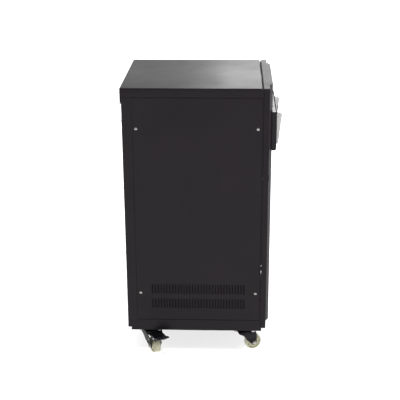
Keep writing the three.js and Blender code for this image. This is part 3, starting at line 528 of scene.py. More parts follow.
def hex_head(name, at, direction, body, across=0.008, height=0.004, washer=0.0065, stud=0.0, turn=0.3):
    """Hexagon head or nut with a chamfered crown, on a washer."""
    m = facing(at, direction) @ Matrix.Rotation(turn, 4, "Z")
    bm = bmesh.new()
    base = 0.0
    if washer:
        base = 0.0012
        lathe([(0, 0), (washer, 0), (washer, 0.0009), (washer * 0.94, base), (0, base)], 32, bm)
    apothem, corner, sixth = across / 2, across / math.sqrt(3), math.pi / 3

    def hexagon(limit):
        return lambda t: min(limit, apothem / math.cos((t + sixth / 2) % sixth - sixth / 2))

    rows = ((corner, 0.0), (corner, 0.78), (apothem * 1.06, 0.95), (apothem * 0.7, 1.0))
    rings = [circle(bm, hexagon(limit), base + height * level, 36) for limit, level in rows]
    bridge(bm, rings)
    bm.faces.new(rings[0][::-1])
    bm.faces.new(rings[-1])
    if stud:
        top, thread = base + height, across * 0.27
        lathe([(0, top - 0.0005), (thread, top - 0.0005), (thread, top + stud * 0.8),
               (across * 0.2, top + stud), (0, top + stud)], 24, bm)
    return finish_mesh(name, bm, BOLT, body, m, angle=28)


# ------------------------------------------------------------------ CAD nodes that stay, with soft edges

EDGE = {
    "lid_hinge_fixed_leaf": 0.0003, "lid_hinge_moving_leaf": 0.0003, "lock_cam": 0.0005,
    "left_side_panel": 0.0010, "right_side_panel": 0.0010, "back_panel": 0.0006,
    "left_side_frame": 0.0011, "right_side_frame": 0.0011, "door_pivot_top": 0.0005,
    "console_housing": 0.0012, "display_window": 0.0006, "front_door": 0.0006, "port_liner": 0.0015,
    "hopper_bin": 0.0008, "feed_disc": 0.002, "drop_tube": 0.0008, "feed_ramp": 0.0007,
    "launcher_cradle": 0.0009, "tilt_stand": 0.0009, "tilt_clamp_knob": 0.0022,
    "upper_throwing_hub": 0.0012, "lower_throwing_hub": 0.0012, "power_inlet": 0.0006, "power_switch": 0.0008,
    "fan_frame": 0.0008, "fan_rotor": 0.0004, "base_plinth": 0.0006, "launcher_shelf": 0.0005,
}
OWN = {
    "console_housing": PLASTIC_GLOSS, "front_door": STEEL_BLACK_DOOR, "feed_gearmotor": CASE,
    "power_supply": ALLOY, "upper_throwing_hub": ALLOY, "lower_throwing_hub": ALLOY, "launcher_cradle": ALLOY,
}
for name, obj in frame["nodes"].items():
    material = OWN.get(name) or BY_SLOT[SLOTS[name]]
    obj.data.materials.clear()
    obj.data.materials.append(material)
    # The cabinet's sides have a flat chamfer that catches the light.
    soften(obj, EDGE.get(name, 0.0005), 1 if "_side_" in name else 2)

# ------------------------------------------------------------------ lid


def lid_shell():
    """Folded pan with rounded folds, a deeper skirt at the back and turned edges."""
    a, b = lo("lid"), hi("lid")
    x, y0, y1, top, gauge = b.x, lo("front_top_rail").y, b.y, b.z, 0.0014
    side, rear, front, tab = top - 0.0262, a.z, top - 0.020, y1 - 0.0032
    bm = bmesh.new()
    v = lambda *p: bm.verts.new(p)
    t = [v(-x, y0, top), v(x, y0, top), v(x, y1, top), v(-x, y1, top)]
    low = {}
    for s in (-1, 1):
        skirt = ((y0, front), (y0, side), (tab, side), (tab, rear), (y1, rear))
        low[s] = [v(s * x, y, z) for y, z in skirt]
    bm.faces.new((t[0], t[1], t[2], t[3]))
    for s, f, r in ((-1, t[0], t[3]), (1, t[1], t[2])):
        ring = [f, *low[s], r]
        bm.faces.new(ring if s < 0 else ring[::-1])
    bm.faces.new((t[1], t[0], low[-1][0], low[1][0]))
    bm.faces.new((t[3], t[2], low[1][4], low[-1][4]))
    bmesh.ops.recalc_face_normals(bm, faces=bm.faces)
    if bm.faces[0].normal.z < 0:
        bmesh.ops.reverse_faces(bm, faces=bm.faces)
    folds = [e for e in bm.edges if len(e.link_faces) == 2]
    bmesh.ops.bevel(bm, geom=folds, offset=0.0026, segments=5, profile=0.5, affect="EDGES",
                    clamp_overlap=True)
    obj = put_mesh("lid_shell", bm, STEEL_BLACK)
    obj.data.shade_smooth()
    thicken(obj, gauge, -1)
    soften(obj, 0.0003, 2, 50)
    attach(obj, BODIES["lid"])
    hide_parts("lid")
    # The latch-side skirt runs on to the door.
    bm = block((-x + 0.00004, a.y, side), (-x + gauge, y0 + 0.003, top - 0.0015))
    finish_mesh("lid_skirt_return", bm, STEEL_BLACK, "lid", bevel=0.0003)
    # Two hat-section stiffeners inside, and rubber buffers where the lid lands.
    w, h, foot = 0.012, 0.009, 0.008
    under = top - gauge - 0.00005
    hat = [(-w - foot, 0), (-w, 0), (-w + 0.003, -h), (w - 0.003, -h), (w, 0), (w + foot, 0),
           (w + foot, -0.0012), (w + 0.0008, -0.0012), (w - 0.0022, -h - 0.0012), (-w + 0.0022, -h - 0.0012),
           (-w - 0.0008, -0.0012), (-w - foot, -0.0012)]
    for i, y in enumerate((y0 + (y1 - y0) * 0.33, y0 + (y1 - y0) * 0.67)):
        bm = slab(hat, -x + 0.006, x - 0.006, matrix=Matrix.Translation((0, y, under)) @ ALONG_X)
        finish_mesh(f"lid_stiffener_{i}", bm, STEEL_BLACK, "lid", bevel=0.0004)
    for i, s in enumerate((-1, 1)):
        bm = lathe([(0, 0), (0.005, 0), (0.0055, -0.002), (0.004, -0.006), (0, -0.0065)], 24)
        at = Matrix.Translation((s * (x - 0.03), y0 + 0.010, under))
        finish_mesh(f"lid_buffer_{i}", bm, RUBBER, "lid", at)


# ------------------------------------------------------------------ casters


def caster_wheel(name, place, r):
    """Crowned tread, recessed faces with ribs, hub boss."""
    half = [(0.0043, 0.0120), (0.0085, 0.0120), (0.0094, 0.0112), (0.0102, 0.0086), (0.0120, 0.0072),
            (0.0188, 0.0070), (0.0200, 0.0078), (0.0206, 0.0094), (0.0224, 0.0096), (0.0238, 0.0088),
            (r - 0.0004, 0.0068), (r, 0.0040), (r, 0.0)]
    bm = lathe(half + [(a, -b) for a, b in half[-2::-1]] + [half[0]], 72)
    for s in (1, -1):
        for k in range(8):
            turn = Matrix.Scale(s, 4, (0, 0, 1)) @ Matrix.Rotation(k * TAU / 8 + 0.2, 4, "Z")
            block((0.0095, -0.0008, 0.0066), (0.0205, 0.0008, 0.0086), bm, turn)
    obj = finish_mesh(f"{name}_wheel_body", bm, NYLON, f"{name}_roller", place, angle=32)
    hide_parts(f"{name}_caster_wheel")


def cheek_outline(trail, r, head, braked):
    """Side view of a fork's cheek, in (distance behind the swivel, height), round the axle's lug."""
    arc = [polar(0.0088, math.radians(12 - i * 18)) for i in range(9)]
    lug = [(trail + a, r + b) for a, b in arc]
    plain = [(0.0044, 0.0360), (-0.0100, 0.0565), (-0.0255, head - 0.0060), (-0.0275, head - 0.0040)]
    deep = [(-0.0040, 0.0295), (-0.0125, 0.0355), (-0.0155, 0.0430), (-0.0160, 0.0570), (-0.0285, 0.0645),
            (-0.0290, head - 0.0040)]
    return [(0.0262, head), (0.0310, 0.0610), (0.0338, 0.0480), *lug, *(deep if braked else plain)]


def reach(outline, z):
    """The two ends of an outline at a height."""
    ends = []
    for (a0, z0), (a1, z1) in zip(outline, outline[1:] + outline[:1]):
        if (z0 - z) * (z1 - z) <= 0 and z0 != z1:
            ends.append(a0 + (a1 - a0) * (z - z0) / (z1 - z0))
    return min(ends), max(ends)


def spread(z):
    """How far a cheek stands from the fork's middle at a height."""
    edge = [(0.0156, 0.010), (0.0156, 0.0350), (0.0163, 0.0390), (0.0216, 0.0550), (0.0230, 0.0600),
            (0.0238, 0.0645)]
    z = min(max(z, edge[0][1]), edge[-1][1])
    for (n0, z0), (n1, z1) in zip(edge, edge[1:]):
        if z <= z1:
            return n0 + (n1 - n0) * (z - z0) / (z1 - z0)


def caster_fork(name, local, outline, head):
    """One pressing, wide under the race and drawn in to the hub."""
    across = 8
    levels = [0.0166, 0.0185, 0.022, 0.027, 0.031, 0.035, 0.039, 0.0425, 0.046, 0.050, 0.054, 0.058, 0.0615,
              head - 0.0072, head - 0.0040]
    bm = bmesh.new()

    def row(ends, offset, z):
        a, b = ends
        return [bm.verts.new((a + (b - a) * i / across, offset, z)) for i in range(across + 1)]

    def sheet(rows):
        for a, b in zip(rows, rows[1:]):
            for i in range(across):
                bm.faces.new((a[i], a[i + 1], b[i + 1], b[i]))

    cheeks = {}
    for s in (-1, 1):
        cheeks[s] = [row(reach(outline, z), s * spread(z), z) for z in levels]
        sheet(cheeks[s])
    flat = head - 0.0013
    bend = [(-0.0229, head - 0.0024), (-0.0205, flat)]
    crown = [*bend, (0.0, flat), *((-n, z) for n, z in bend[::-1])]
    ends = outline[-1][0], outline[0][0]
    sheet([cheeks[-1][-1], *(row(ends, n, z) for n, z in crown), cheeks[1][-1]])
    obj = finish_mesh(f"{name}_fork_pressing", bm, STEEL_BLACK_DARK, f"{name}_fork", local,
                      angle=60)
    thicken(obj, 0.0023, 0)
    soften(obj, 0.0005, 2, 60)
    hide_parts(f"{name}_caster_fork")


def caster_plate(name, head):
    """Mounting plate with rounded corners, swaged centre and four bolts."""
    node = f"{name}_caster_plate"
    p, q, c = corners(node)
    top, w, d = q.z, (q.x - p.x) / 2, (q.y - p.y) / 2
    where = Matrix.Translation((c.x, c.y, 0))
    bm = slab(round_rect(w, d, 0.006), top - 0.0025, top)
    obj = finish_mesh(f"{name}_plate_pressing", bm, STEEL_BLACK_DARK, "cabinet", where, 0.0006)
    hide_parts(node)
    cup = [(0, top - 0.0026), (0.0235, top - 0.0026), (0.0215, top - 0.0032), (0.0196, head + 0.0052),
           (0.0180, head + 0.0048), (0, head + 0.0048)]
    finish_mesh(f"{name}_plate_race", lathe(cup, 40), STEEL_BLACK_DARK, "cabinet", where)
    for k, (sx, sy) in enumerate(CORNERS):
        at = (c.x + sx * (w - 0.0075), c.y + sy * (d - 0.0075), top - 0.0026)
        hex_head(f"{name}_plate_bolt_{k}", at, (0, 0, -1), "cabinet", 0.0095, 0.0040, 0.0062, 0.0012, 0.2 + k)


def caster(name):
    swivel, roll = JOINTS[f"{name}_swivel"], JOINTS[f"{name}_roll"]
    pivot, centre, n = Vector(swivel["pos_m"]), Vector(roll["pos_m"]), Vector(roll["axis"])
    u = Vector((centre.x - pivot.x, centre.y - pivot.y, 0))
    trail = u.length
    u.normalize()
    # Local axes: X from the swivel towards the wheel, Y along the axle, Z up.
    local = Matrix((u, n, Vector((0, 0, 1)))).transposed().to_4x4()
    local.translation = (pivot.x, pivot.y, 0)
    place = facing(centre, n)
    fork = f"{name}_fork"
    head = hi(f"{name}_caster_fork").z
    braked = f"{name}_brake" in frame["bodies"]

    caster_wheel(name, place, centre.z)
    caster_fork(name, local, cheek_outline(trail, centre.z, head, braked), head)
    # Ball race and king pin under the plate.
    race = [(0, head + 0.0003), (0.0212, head + 0.0003), (0.0218, head + 0.0012), (0.0205, head + 0.0036),
            (0.0165, head + 0.0045), (0, head + 0.0045)]
    finish_mesh(f"{name}_race", lathe(race, 40), STEEL_BLACK_DARK, fork, local)
    pin = [(0, head - 0.0070), (0.0040, head - 0.0068), (0.0056, head - 0.0050), (0.0060, head - 0.0030),
           (0, head - 0.0030)]
    finish_mesh(f"{name}_king_pin", lathe(pin, 28), BOLT, fork, local)
    # Axle bolt and nut, on the cheeks' outer faces.
    outer = 0.0160
    axle = lathe([(0, -outer), (0.0039, -outer), (0.0039, outer), (0, outer)], 24)
    finish_mesh(f"{name}_axle", axle, BOLT, fork, place)
    seat = n * (outer + 0.0005)
    hex_head(f"{name}_axle_head", centre + seat, n, fork, 0.0098, 0.0040, 0.0066)
    hex_head(f"{name}_axle_nut", centre - seat, -n, fork, 0.0098, 0.0034, 0.0066, 0.0012)
    caster_plate(name, head)
    if braked:
        brake(name, local)


def brake(name, local):
    """Pressed pedal over the wheel: shoe between the cheeks, a wide ribbed foot tread and its rivets."""
    body = f"{name}_brake"
    shoe = [(0.024, 0.0525), (0.038, 0.0503), (0.052, 0.0485), (0.060, 0.0520), (0.060, 0.0655),
            (0.024, 0.0655)]
    bm = slab(shoe, -0.0122, 0.0122, matrix=ALONG_Y)
    obj = finish_mesh(f"{name}_brake_shoe", bm, STEEL_BLACK_DARK, body, local, 0.0012, 3)
    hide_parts(f"{name}_brake_pedal")
    half = 0.0188
    under = [(0.0120, 0.0590), (0.0285, 0.0590), (0.0400, 0.0578), (0.0460, 0.0533), (0.0520, 0.0503),
             (0.0660, 0.0543), (0.0925, 0.0731)]
    over = [(0.0916, 0.0757), (0.0780, 0.0723), (0.0680, 0.0683), (0.0300, 0.0680), (0.0120, 0.0650)]
    bm = slab(under + over, -half, half, matrix=ALONG_Y)
    finish_mesh(f"{name}_brake_tread", bm, STEEL_BLACK_DARK, body, local, 0.0014, 3)
    # Grip ribs on the slope before the tip.
    bm = bmesh.new()
    slope = Matrix.Translation((0.0780, 0, 0.0723)) @ Matrix.Rotation(-math.atan2(0.0034, 0.0136), 4, "Y")
    for k in range(4):
        x = 0.0010 + k * 0.0032
        block((x, -0.015, -0.0006), (x + 0.0018, 0.015, 0.0006), bm, slope)
    finish_mesh(f"{name}_brake_grip", bm, RUBBER, body, local, bevel=0.0004)
    # Rivets of the pedal and its spring, and of its pivot in the cheeks.
    outward = (local.to_3x3() @ Vector((0, 1, 0))).normalized()
    face = half - 0.00005
    for k, s in enumerate((-1, 1)):
        for tag, x, z in (("brake", 0.0560, 0.0612), ("spring", 0.0370, 0.0600)):
            at = local @ Vector((x, s * face, z))
            pan_screw(f"{name}_{tag}_rivet_{k}", at, outward * s, body, 0.0032, 0.0018, ZINC, turn=k)
        at = local @ Vector((0.0265, s * 0.0198, 0.0480))
        pan_screw(f"{name}_pivot_rivet_{k}", at, outward * s, f"{name}_fork", 0.0030, 0.0014, turn=k)


# ------------------------------------------------------------------ screws on the cabinet


def cabinet_screws():
    p, q = lo("left_side_panel"), hi("left_side_panel")
    spots = [(q.y - 0.0095, q.z - 0.0885), (p.y + 0.0110, q.z - 0.0885), (q.y - 0.0105, p.z + 0.0883),
             (p.y + 0.0115, p.z + 0.0883)]
    sunk = 0.00005
    for k, (y, z) in enumerate(spots):
        pan_screw(f"left_panel_screw_{k}", (p.x - sunk, y, z), (-1, 0, 0), "cabinet", turn=0.3 + k * 1.1)
        pan_screw(f"right_panel_screw_{k}", (-p.x + sunk, y, z), (1, 0, 0), "cabinet", turn=0.9 + k * 1.3)
    b, c = lo("back_panel"), hi("back_panel")
    rows = (b.z + 0.03, b.z + 0.235, b.z + 0.44, c.z - 0.07)
    for k, (x, z) in enumerate((x, z) for x in (b.x + 0.011, c.x - 0.011) for z in rows):
        at = (x, c.y + sunk, z)
        pan_screw(f"back_panel_screw_{k}", at, (0, 1, 0), "cabinet", 0.0045, 0.0022, turn=k * 0.7)
    h0, h1 = lo("lid_hinge_fixed_leaf"), hi("lid_hinge_fixed_leaf")
    for k in range(6):
        at = (h0.x + 0.03 + k * (h1.x - h0.x - 0.06) / 5, h0.y + 0.00125, h0.z + 0.012)
        pan_screw(f"hinge_screw_{k}", at, (0, 1, 0), "cabinet", 0.0036, 0.0016, turn=k)


# ------------------------------------------------------------------ console


def knob(node):
    """Fluted cap with a pointer, and the printed scale round it."""
    p, q, c = corners(node)
    r = (q.x - p.x) / 2
    proud = 0.0103  # what stands out of the console
    m = facing((c.x, p.y + proud, c.z), (0, -1, 0))
    deep = 0.035
    rows = ((1.0, 0, 0.0), (1.0, 0, 0.0016), (0.93, deep, 0.0026), (0.86, deep, 0.0088), (0.80, deep, 0.0100),
            (0.66, 0, proud))

    def fluted(scale, depth):
        return lambda t: r * (scale - depth * (0.5 - 0.5 * math.cos(t * 16)))

    bm = bmesh.new()
    rings = [circle(bm, fluted(scale, depth), z, 96) for scale, depth, z in rows]
    bridge(bm, rings)
    bm.faces.new(rings[0][::-1])
    inner = [bm.verts.new((v.co.x * 0.94, v.co.y * 0.94, 0.0098)) for v in rings[-1]]
    bridge(bm, [rings[-1], inner])
    bm.faces.new(inner)
    lathe([(0, -0.0140), (0.0030, -0.0140), (0.0030, 0.0005), (0, 0.0005)], 20, bm)
    obj = finish_mesh(f"{node}_cap", bm, PLASTIC_BLACK, node, m, angle=40)
    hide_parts(node)
    bm = block((-0.0007, r * 0.15, 0.0096), (0.0007, r * 0.60, 0.01045))
    finish_mesh(f"{node}_pointer", bm, PLASTIC_IVORY, node, m, bevel=0.0002)
    # Printed scale on the console's face, with a longer mark at both ends and in the middle.
    face = lo("console_housing").y
    bm = bmesh.new()
    for k in range(11):
        t = math.radians(-135 + k * 27)
        up, along = polar(r * 1.13, t)
        turn = Matrix.Translation((c.x + along, face - 0.00012, c.z + up)) @ Matrix.Rotation(t, 4, "Y")
        half, length = (0.0007, 0.0034) if k % 5 == 0 else (0.0004, 0.0022)
        block((-half, -0.00012, 0), (half, 0.0002, length), bm, turn)
    finish_mesh(f"{node}_scale", bm, PLASTIC_IVORY, "door", smooth=False)


def button(node, material):
    """Dished cap in a plated collar."""
    c = mid(node)
    face = lo("console_housing").y
    r, out = 0.009, face - lo(node).y
    m = facing((c.x, face, c.z), (0, -1, 0))
    profile = [(0, -0.0030), (r - 0.0001, -0.0030), (r - 0.0001, out - 0.0012), (r - 0.0004, out - 0.0004),
               (r - 0.0014, out), (r - 0.003, out - 0.0002), (r * 0.35, out - 0.0009), (0, out - 0.0010)]
    obj = finish_mesh(f"{node}_cap", lathe(profile, 56), material, node, m, angle=50)
    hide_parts(node)
    ring = [(r + 0.0006, 0.0002), (r + 0.0030, 0.0002), (r + 0.0030, 0.0010), (r + 0.0018, 0.0022),
            (r + 0.0008, 0.0018), (r + 0.0006, 0.0002)]
    finish_mesh(f"{node}_collar", lathe(ring, 56), BOLT, "door", m)


def bezel():
    """Picture frame with a chamfered inner edge, and end cheeks that flare forward at the top."""
    p, q = lo("console_bezel"), hi("console_bezel")
    face = lo("console_housing").y
    half, rim = q.x, 0.008
    cz, hz = (p.z + q.z) / 2, (q.z - p.z) / 2
    back, front = q.y, face - 0.0035
    outer, inner = round_rect(half, hz, 0.004), round_rect(half - rim, hz - rim, 0.005)
    chamfer = round_rect(half - rim + 0.0016, hz - rim + 0.0016, 0.0056)
    sections = ((outer, back), (outer, front), (chamfer, front), (inner, front + 0.0016), (inner, back))
    bm = picture_frame(sections, cz)
    obj = finish_mesh("bezel_frame", bm, PLASTIC_GREY, "door", bevel=0.0006)
    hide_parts("console_bezel")
    # The cheeks carry shallow ribs on their outer faces.
    tip, low_tip, shoulder = p.y, face - 0.0068, q.z - 0.0075
    wedge = [(back, p.z), (low_tip, p.z), (tip, shoulder), (tip + 0.0012, q.z - 0.0052),
             (front - 0.0060, q.z - 0.0018), (back, q.z)]
    for s, tag in ((-1, "left"), (1, "right")):
        a, b = sorted((s * (half - 0.0055), s * half))
        bm = slab(wedge, a, b, matrix=ALONG_X)
        finish_mesh(f"bezel_cheek_{tag}", bm, PLASTIC_GREY, "door", bevel=0.0007, segments=3)
        bm = bmesh.new()
        a, b = sorted((s * (half - 0.0006), s * (half + 0.0006)))
        for k in range(4):
            y = back - 0.0022 - k * 0.0030
            leaning = max(0, (y - low_tip) / (tip - low_tip))
            foot = p.z + 0.004 + leaning * (shoulder - p.z)
            top = q.z - 0.004 - k * 0.0011
            if foot < top - 0.006:
                block((a, y - 0.0006, foot), (b, y + 0.0006, top), bm)
        finish_mesh(f"bezel_ribs_{tag}", bm, PLASTIC_GREY, "door", bevel=0.0003)


def console():
    bezel()
    # Rubber lip along the housing's front top edge, and a screw in each corner.
    a, b, c = corners("console_housing")
    bm = block((a.x + 0.001, a.y - 0.0002, b.z - 0.0005), (b.x - 0.001, a.y + 0.0033, b.z + 0.0010))
    finish_mesh("console_lip", bm, RUBBER, "door", bevel=0.0005)
    for k, (sx, sz) in enumerate(CORNERS):
        at = (sx * (b.x - 0.012), a.y - 0.00005, c.z + sz * ((b.z - a.z) / 2 - 0.012))
        pan_screw(f"console_screw_{k}", at, (0, -1, 0), "door", 0.0034, 0.0015, turn=k * 0.8)
    d0, d1 = lo("display_window"), hi("display_window")
    w, h = (d1.x - d0.x) / 2, (d1.z - d0.z) / 2
    outer, inner = round_rect(w + 0.0022, h + 0.0022, 0.004), round_rect(w + 0.0002, h + 0.0002, 0.003)
    back, front = a.y - 0.0001, d0.y - 0.0002
    bm = picture_frame(((outer, back), (outer, front), (inner, front), (inner, back)), (d0.z + d1.z) / 2)
    finish_mesh("display_surround", bm, PLASTIC_GREY, "door", bevel=0.0004)
    button("start_button", PLASTIC_LIME)
    button("stop_button", PLASTIC_RED)
    button("mode_button", PLASTIC_IVORY)
    knob("speed_knob")
    knob("feed_rate_knob")

# ------------------------------------------------------------------ launcher


def throwing_wheel(side):
    """Tyre with rounded shoulders and shallow grooves, and bolts round the hub."""
    node, body = f"{side}_throwing_tyre", f"{side}_wheel"
    p, q, c = corners(node)
    r, w = q.z - c.z, (q.x - p.x) / 2
    inner, crest, groove = r - 0.0200, r - 0.0003, r - 0.0016
    shoulder = [(inner, -w), (r - 0.0060, -w), (r - 0.0040, -w + 0.0008), (r - 0.0010, -w + 0.0040),
                (crest, -w + 0.0060)]
    tread = []
    for k in range(-2, 3):
        x = k * 0.0062
        tread += [(crest, x - 0.0012), (groove, x - 0.0007), (groove, x + 0.0007), (crest, x + 0.0012)]
    profile = shoulder + tread + [(a, -b) for a, b in shoulder[::-1]] + [(inner, -w)]
    m = facing(c, (1, 0, 0))
    obj = finish_mesh(f"{node}_tread", lathe(profile, 96), RUBBER_TYRE, body, m, angle=40)
    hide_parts(node)
    for s, tag in ((-1, "a"), (1, "b")):
        for k in range(6):
            at = c + Vector((s * 0.00605, *polar(0.026, k * TAU / 6 + 0.3)))
            hex_head(f"{side}_hub_bolt_{tag}{k}", at, (s, 0, 0), body, 0.0072, 0.0030, 0.0)


def motor(side):
    """Turned can with a recess for the shaft, black blocks round its end cap as painted shade for vent slots,
    and three screws.
    """
    node = f"{side}_wheel_motor"
    p, q, c = corners(node)
    r, e, bore = (q.z - p.z) / 2, q.x - p.x, 0.0062
    m = facing((p.x, c.y, c.z), (1, 0, 0))
    profile = [(bore, 0.0), (r - 0.0015, 0.0), (r - 0.0002, 0.0012), (r - 0.0002, 0.0085),
               (r - 0.0012, 0.0095), (r - 0.0012, 0.0110), (r - 0.0003, 0.0120),
               (r - 0.0003, e - 0.0170), (r - 0.0014, e - 0.0160),
               (r - 0.0014, e - 0.0148), (r - 0.0006, e - 0.0140), (r - 0.0008, e - 0.0098),
               (r - 0.0030, e - 0.0082), (r * 0.73, e - 0.0078), (r * 0.71, e - 0.0015), (r * 0.66, e),
               (r * 0.3, e), (r * 0.28, e - 0.0008), (0.0040, e - 0.0012), (0, e - 0.0012)]
    bm = lathe(profile, 64)
    # The open ring at the shaft is drawn in to a blind recess.
    rim = [x for x in bm.edges if len(x.link_faces) == 1]
    made = bmesh.ops.extrude_edge_only(bm, edges=rim)["geom"]
    bmesh.ops.translate(bm, verts=[g for g in made if isinstance(g, bmesh.types.BMVert)], vec=(0, 0, 0.0098))
    end = [g for g in made if isinstance(g, bmesh.types.BMEdge) and len(g.link_faces) == 1]
    bmesh.ops.contextual_create(bm, geom=end)
    obj = finish_mesh(f"{node}_can", bm, CASE, "cradle", m, angle=40)
    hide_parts(node)
    # Black blocks stand for the vent slots: painted shade, not openings.
    bm = bmesh.new()
    for k in range(10):
        place = Matrix.Rotation(k * TAU / 10, 4, "Z") @ Matrix.Translation((r * 0.725, 0, 0))
        block((-0.0012, -0.0032, e - 0.0070), (0.0009, 0.0032, e - 0.0030), bm, place)
    finish_mesh(f"{node}_slot_shade_blocks", bm, PLASTIC_BLACK, "cradle", m, bevel=0.0004)
    for k in range(3):
        y, z = polar(0.0255, k * TAU / 3 + 0.5)
        at = Vector((p.x + e - 0.0081, c.y + y, c.z + z))
        pan_screw(f"{node}_screw_{k}", at, (1, 0, 0), "cradle", 0.0026, 0.0014, turn=k)


def feed_motor():
    """Bolts, end cap and bands of the feed gearmotor."""
    node = "feed_gearmotor"
    p, q, c = corners(node)
    for k, (sx, sy) in enumerate(CORNERS):
        at = (c.x + sx * 0.0285, c.y + sy * 0.0285, q.z - 0.0081)
        hex_head(f"feed_motor_bolt_{k}", at, (0, 0, -1), "cabinet", 0.007, 0.003, 0.005)
    cap = [(0, 0), (0.0285, 0), (0.0290, -0.0010), (0.0270, -0.0032), (0.0120, -0.0040), (0.0110, -0.0062),
           (0, -0.0064)]
    at = Matrix.Translation((c.x, c.y, p.z + 0.0001))
    finish_mesh("feed_motor_cap", lathe(cap, 48), PLASTIC_BLACK, "cabinet", at)
    bm = bmesh.new()
    low, high = 0.0298, 0.0306
    for z in (0.014, 0.026, 0.038):
        lathe([(low, z), (high, z + 0.0004), (high, z + 0.0036), (low, z + 0.0040), (low, z)], 56, bm)
    at = Matrix.Translation((c.x, c.y, p.z))
    finish_mesh("feed_motor_bands", bm, CASE, "cabinet", at)


# ------------------------------------------------------------------ electrics


def battery_parts():
    """Seam, terminals with their boots, and vent plugs."""
    p, q, c = corners("battery")
    top = q.z - 0.007

    def part(tag, bm, material, at, bevel=0.0):
        finish_mesh(f"battery_{tag}", bm, material, "cabinet", Matrix.Translation(at), bevel)

    seam = round_rect((q.x - p.x) / 2 + 0.0006, (q.y - p.y) / 2 + 0.0006, 0.005)
    part("seam", slab(seam, top - 0.016, top - 0.0135), PLASTIC_BLACK, (c.x, c.y, 0), 0.0005)
    for x, material, tag in ((p.x + 0.020, PLASTIC_RED, "plus"), (q.x - 0.020, PLASTIC_BLACK, "minus")):
        at = (x, p.y + 0.058, q.z - 0.0001)
        stud = lathe([(0, 0), (0.0035, 0), (0.0035, 0.006), (0.0028, 0.0066), (0, 0.0066)], 20)
        part(f"stud_{tag}", stud, COPPER, at)
        boot = slab(round_rect(0.0095, 0.0105, 0.003), 0, 0.0022)
        part(f"boot_{tag}", boot, material, at, 0.0006)
    for k in range(6):
        plug = lathe([(0, 0), (0.0068, 0), (0.0070, 0.0008), (0.0056, 0.0020), (0, 0.0021)], 28)
        at = (p.x + 0.028 + k * 0.0188, p.y + 0.085, top - 0.0001)
        part(f"vent_{k}", plug, PLASTIC_BLACK, at)


def board_parts():
    """A board with separate components in their own materials, in place of the one solid."""
    p, q = lo("control_board"), hi("control_board")
    base = p.z + 0.008
    top = base + 0.0016

    def box(tag, low, high, material, bevel):
        """A component between two corners, measured from the board's own corner and top face."""
        corner = Vector((p.x, p.y, top))
        bm = block(corner + Vector(low), corner + Vector(high))
        return finish_mesh(f"board_{tag}", bm, material, "cabinet", bevel=bevel)

    obj = box("plate", (0, 0, -0.0016), (q.x - p.x, q.y - p.y, 0), BOARD, 0.0002)
    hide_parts("control_board")
    for k, (x, y) in enumerate(((0.006, 0.006), (0.110, 0.006), (0.006, 0.092), (0.110, 0.092))):
        x, y = p.x + x, p.y + y
        bm = slab([polar(0.0034, i * TAU / 6) for i in range(6)], p.z, base - 0.0001)
        at = Matrix.Translation((x, y, 0))
        finish_mesh(f"board_standoff_{k}", bm, COPPER, "cabinet", at, bevel=0.0003)
        pan_screw(f"board_screw_{k}", (x, y, top - 0.00005), (0, 0, 1), "cabinet", 0.003, 0.0014, turn=k)
    for k, y in enumerate((0.014, 0.042)):
        box(f"relay_{k}", (0.010, y, 0), (0.042, y + 0.022, 0.0154), PLASTIC_BLACK, 0.0010)
    can = [(0, 0), (0.0074, 0), (0.0078, 0.0008), (0.0070, 0.0020), (0.0078, 0.0032), (0.0078, 0.0205),
           (0.0070, 0.0216), (0.0050, 0.0219), (0.0046, 0.0214), (0, 0.0214)]
    for k, x in enumerate((0.062, 0.084)):
        at = Matrix.Translation((p.x + x, p.y + 0.028, top))
        finish_mesh(f"board_capacitor_{k}", lathe(can, 36), PLASTIC_GLOSS, "cabinet", at)
    box("terminals", (0.058, 0.076, 0), (0.106, 0.088, 0.0114), PLASTIC_LIME, 0.0006)
    for k in range(8):
        at = (p.x + 0.0615 + k * 0.0059, p.y + 0.082, top + 0.0112)
        pan_screw(f"board_terminal_screw_{k}", at, (0, 0, 1), "cabinet", 0.0021, 0.0009, turn=k * 0.9)
    x0, y0 = p.x, p.y
    bm = block((x0 + 0.058, y0 + 0.046, top), (x0 + 0.088, y0 + 0.066, top + 0.0026))
    for k in range(7):
        for s in (0.0448, 0.066):
            x, y = x0 + 0.0600 + k * 0.0042, y0 + s
            block((x, y, top), (x + 0.0012, y + 0.0012, top + 0.0012), bm)
    finish_mesh("board_chip", bm, PLASTIC_BLACK, "cabinet", bevel=0.0003)


def supply_parts():
    """Terminal strip of the power supply."""
    p, q = lo("power_supply"), hi("power_supply")
    bm = block((p.x + 0.012, p.y - 0.0085, p.z + 0.004), (q.x - 0.012, p.y + 0.0004, p.z + 0.017))
    finish_mesh("supply_terminals", bm, PLASTIC_BLACK, "cabinet", bevel=0.0008)
    for k in range(7):
        at = (p.x + 0.020 + k * 0.0117, p.y - 0.0084, p.z + 0.0105)
        pan_screw(f"supply_screw_{k}", at, (0, -1, 0), "cabinet", 0.0034, 0.0014, turn=k)


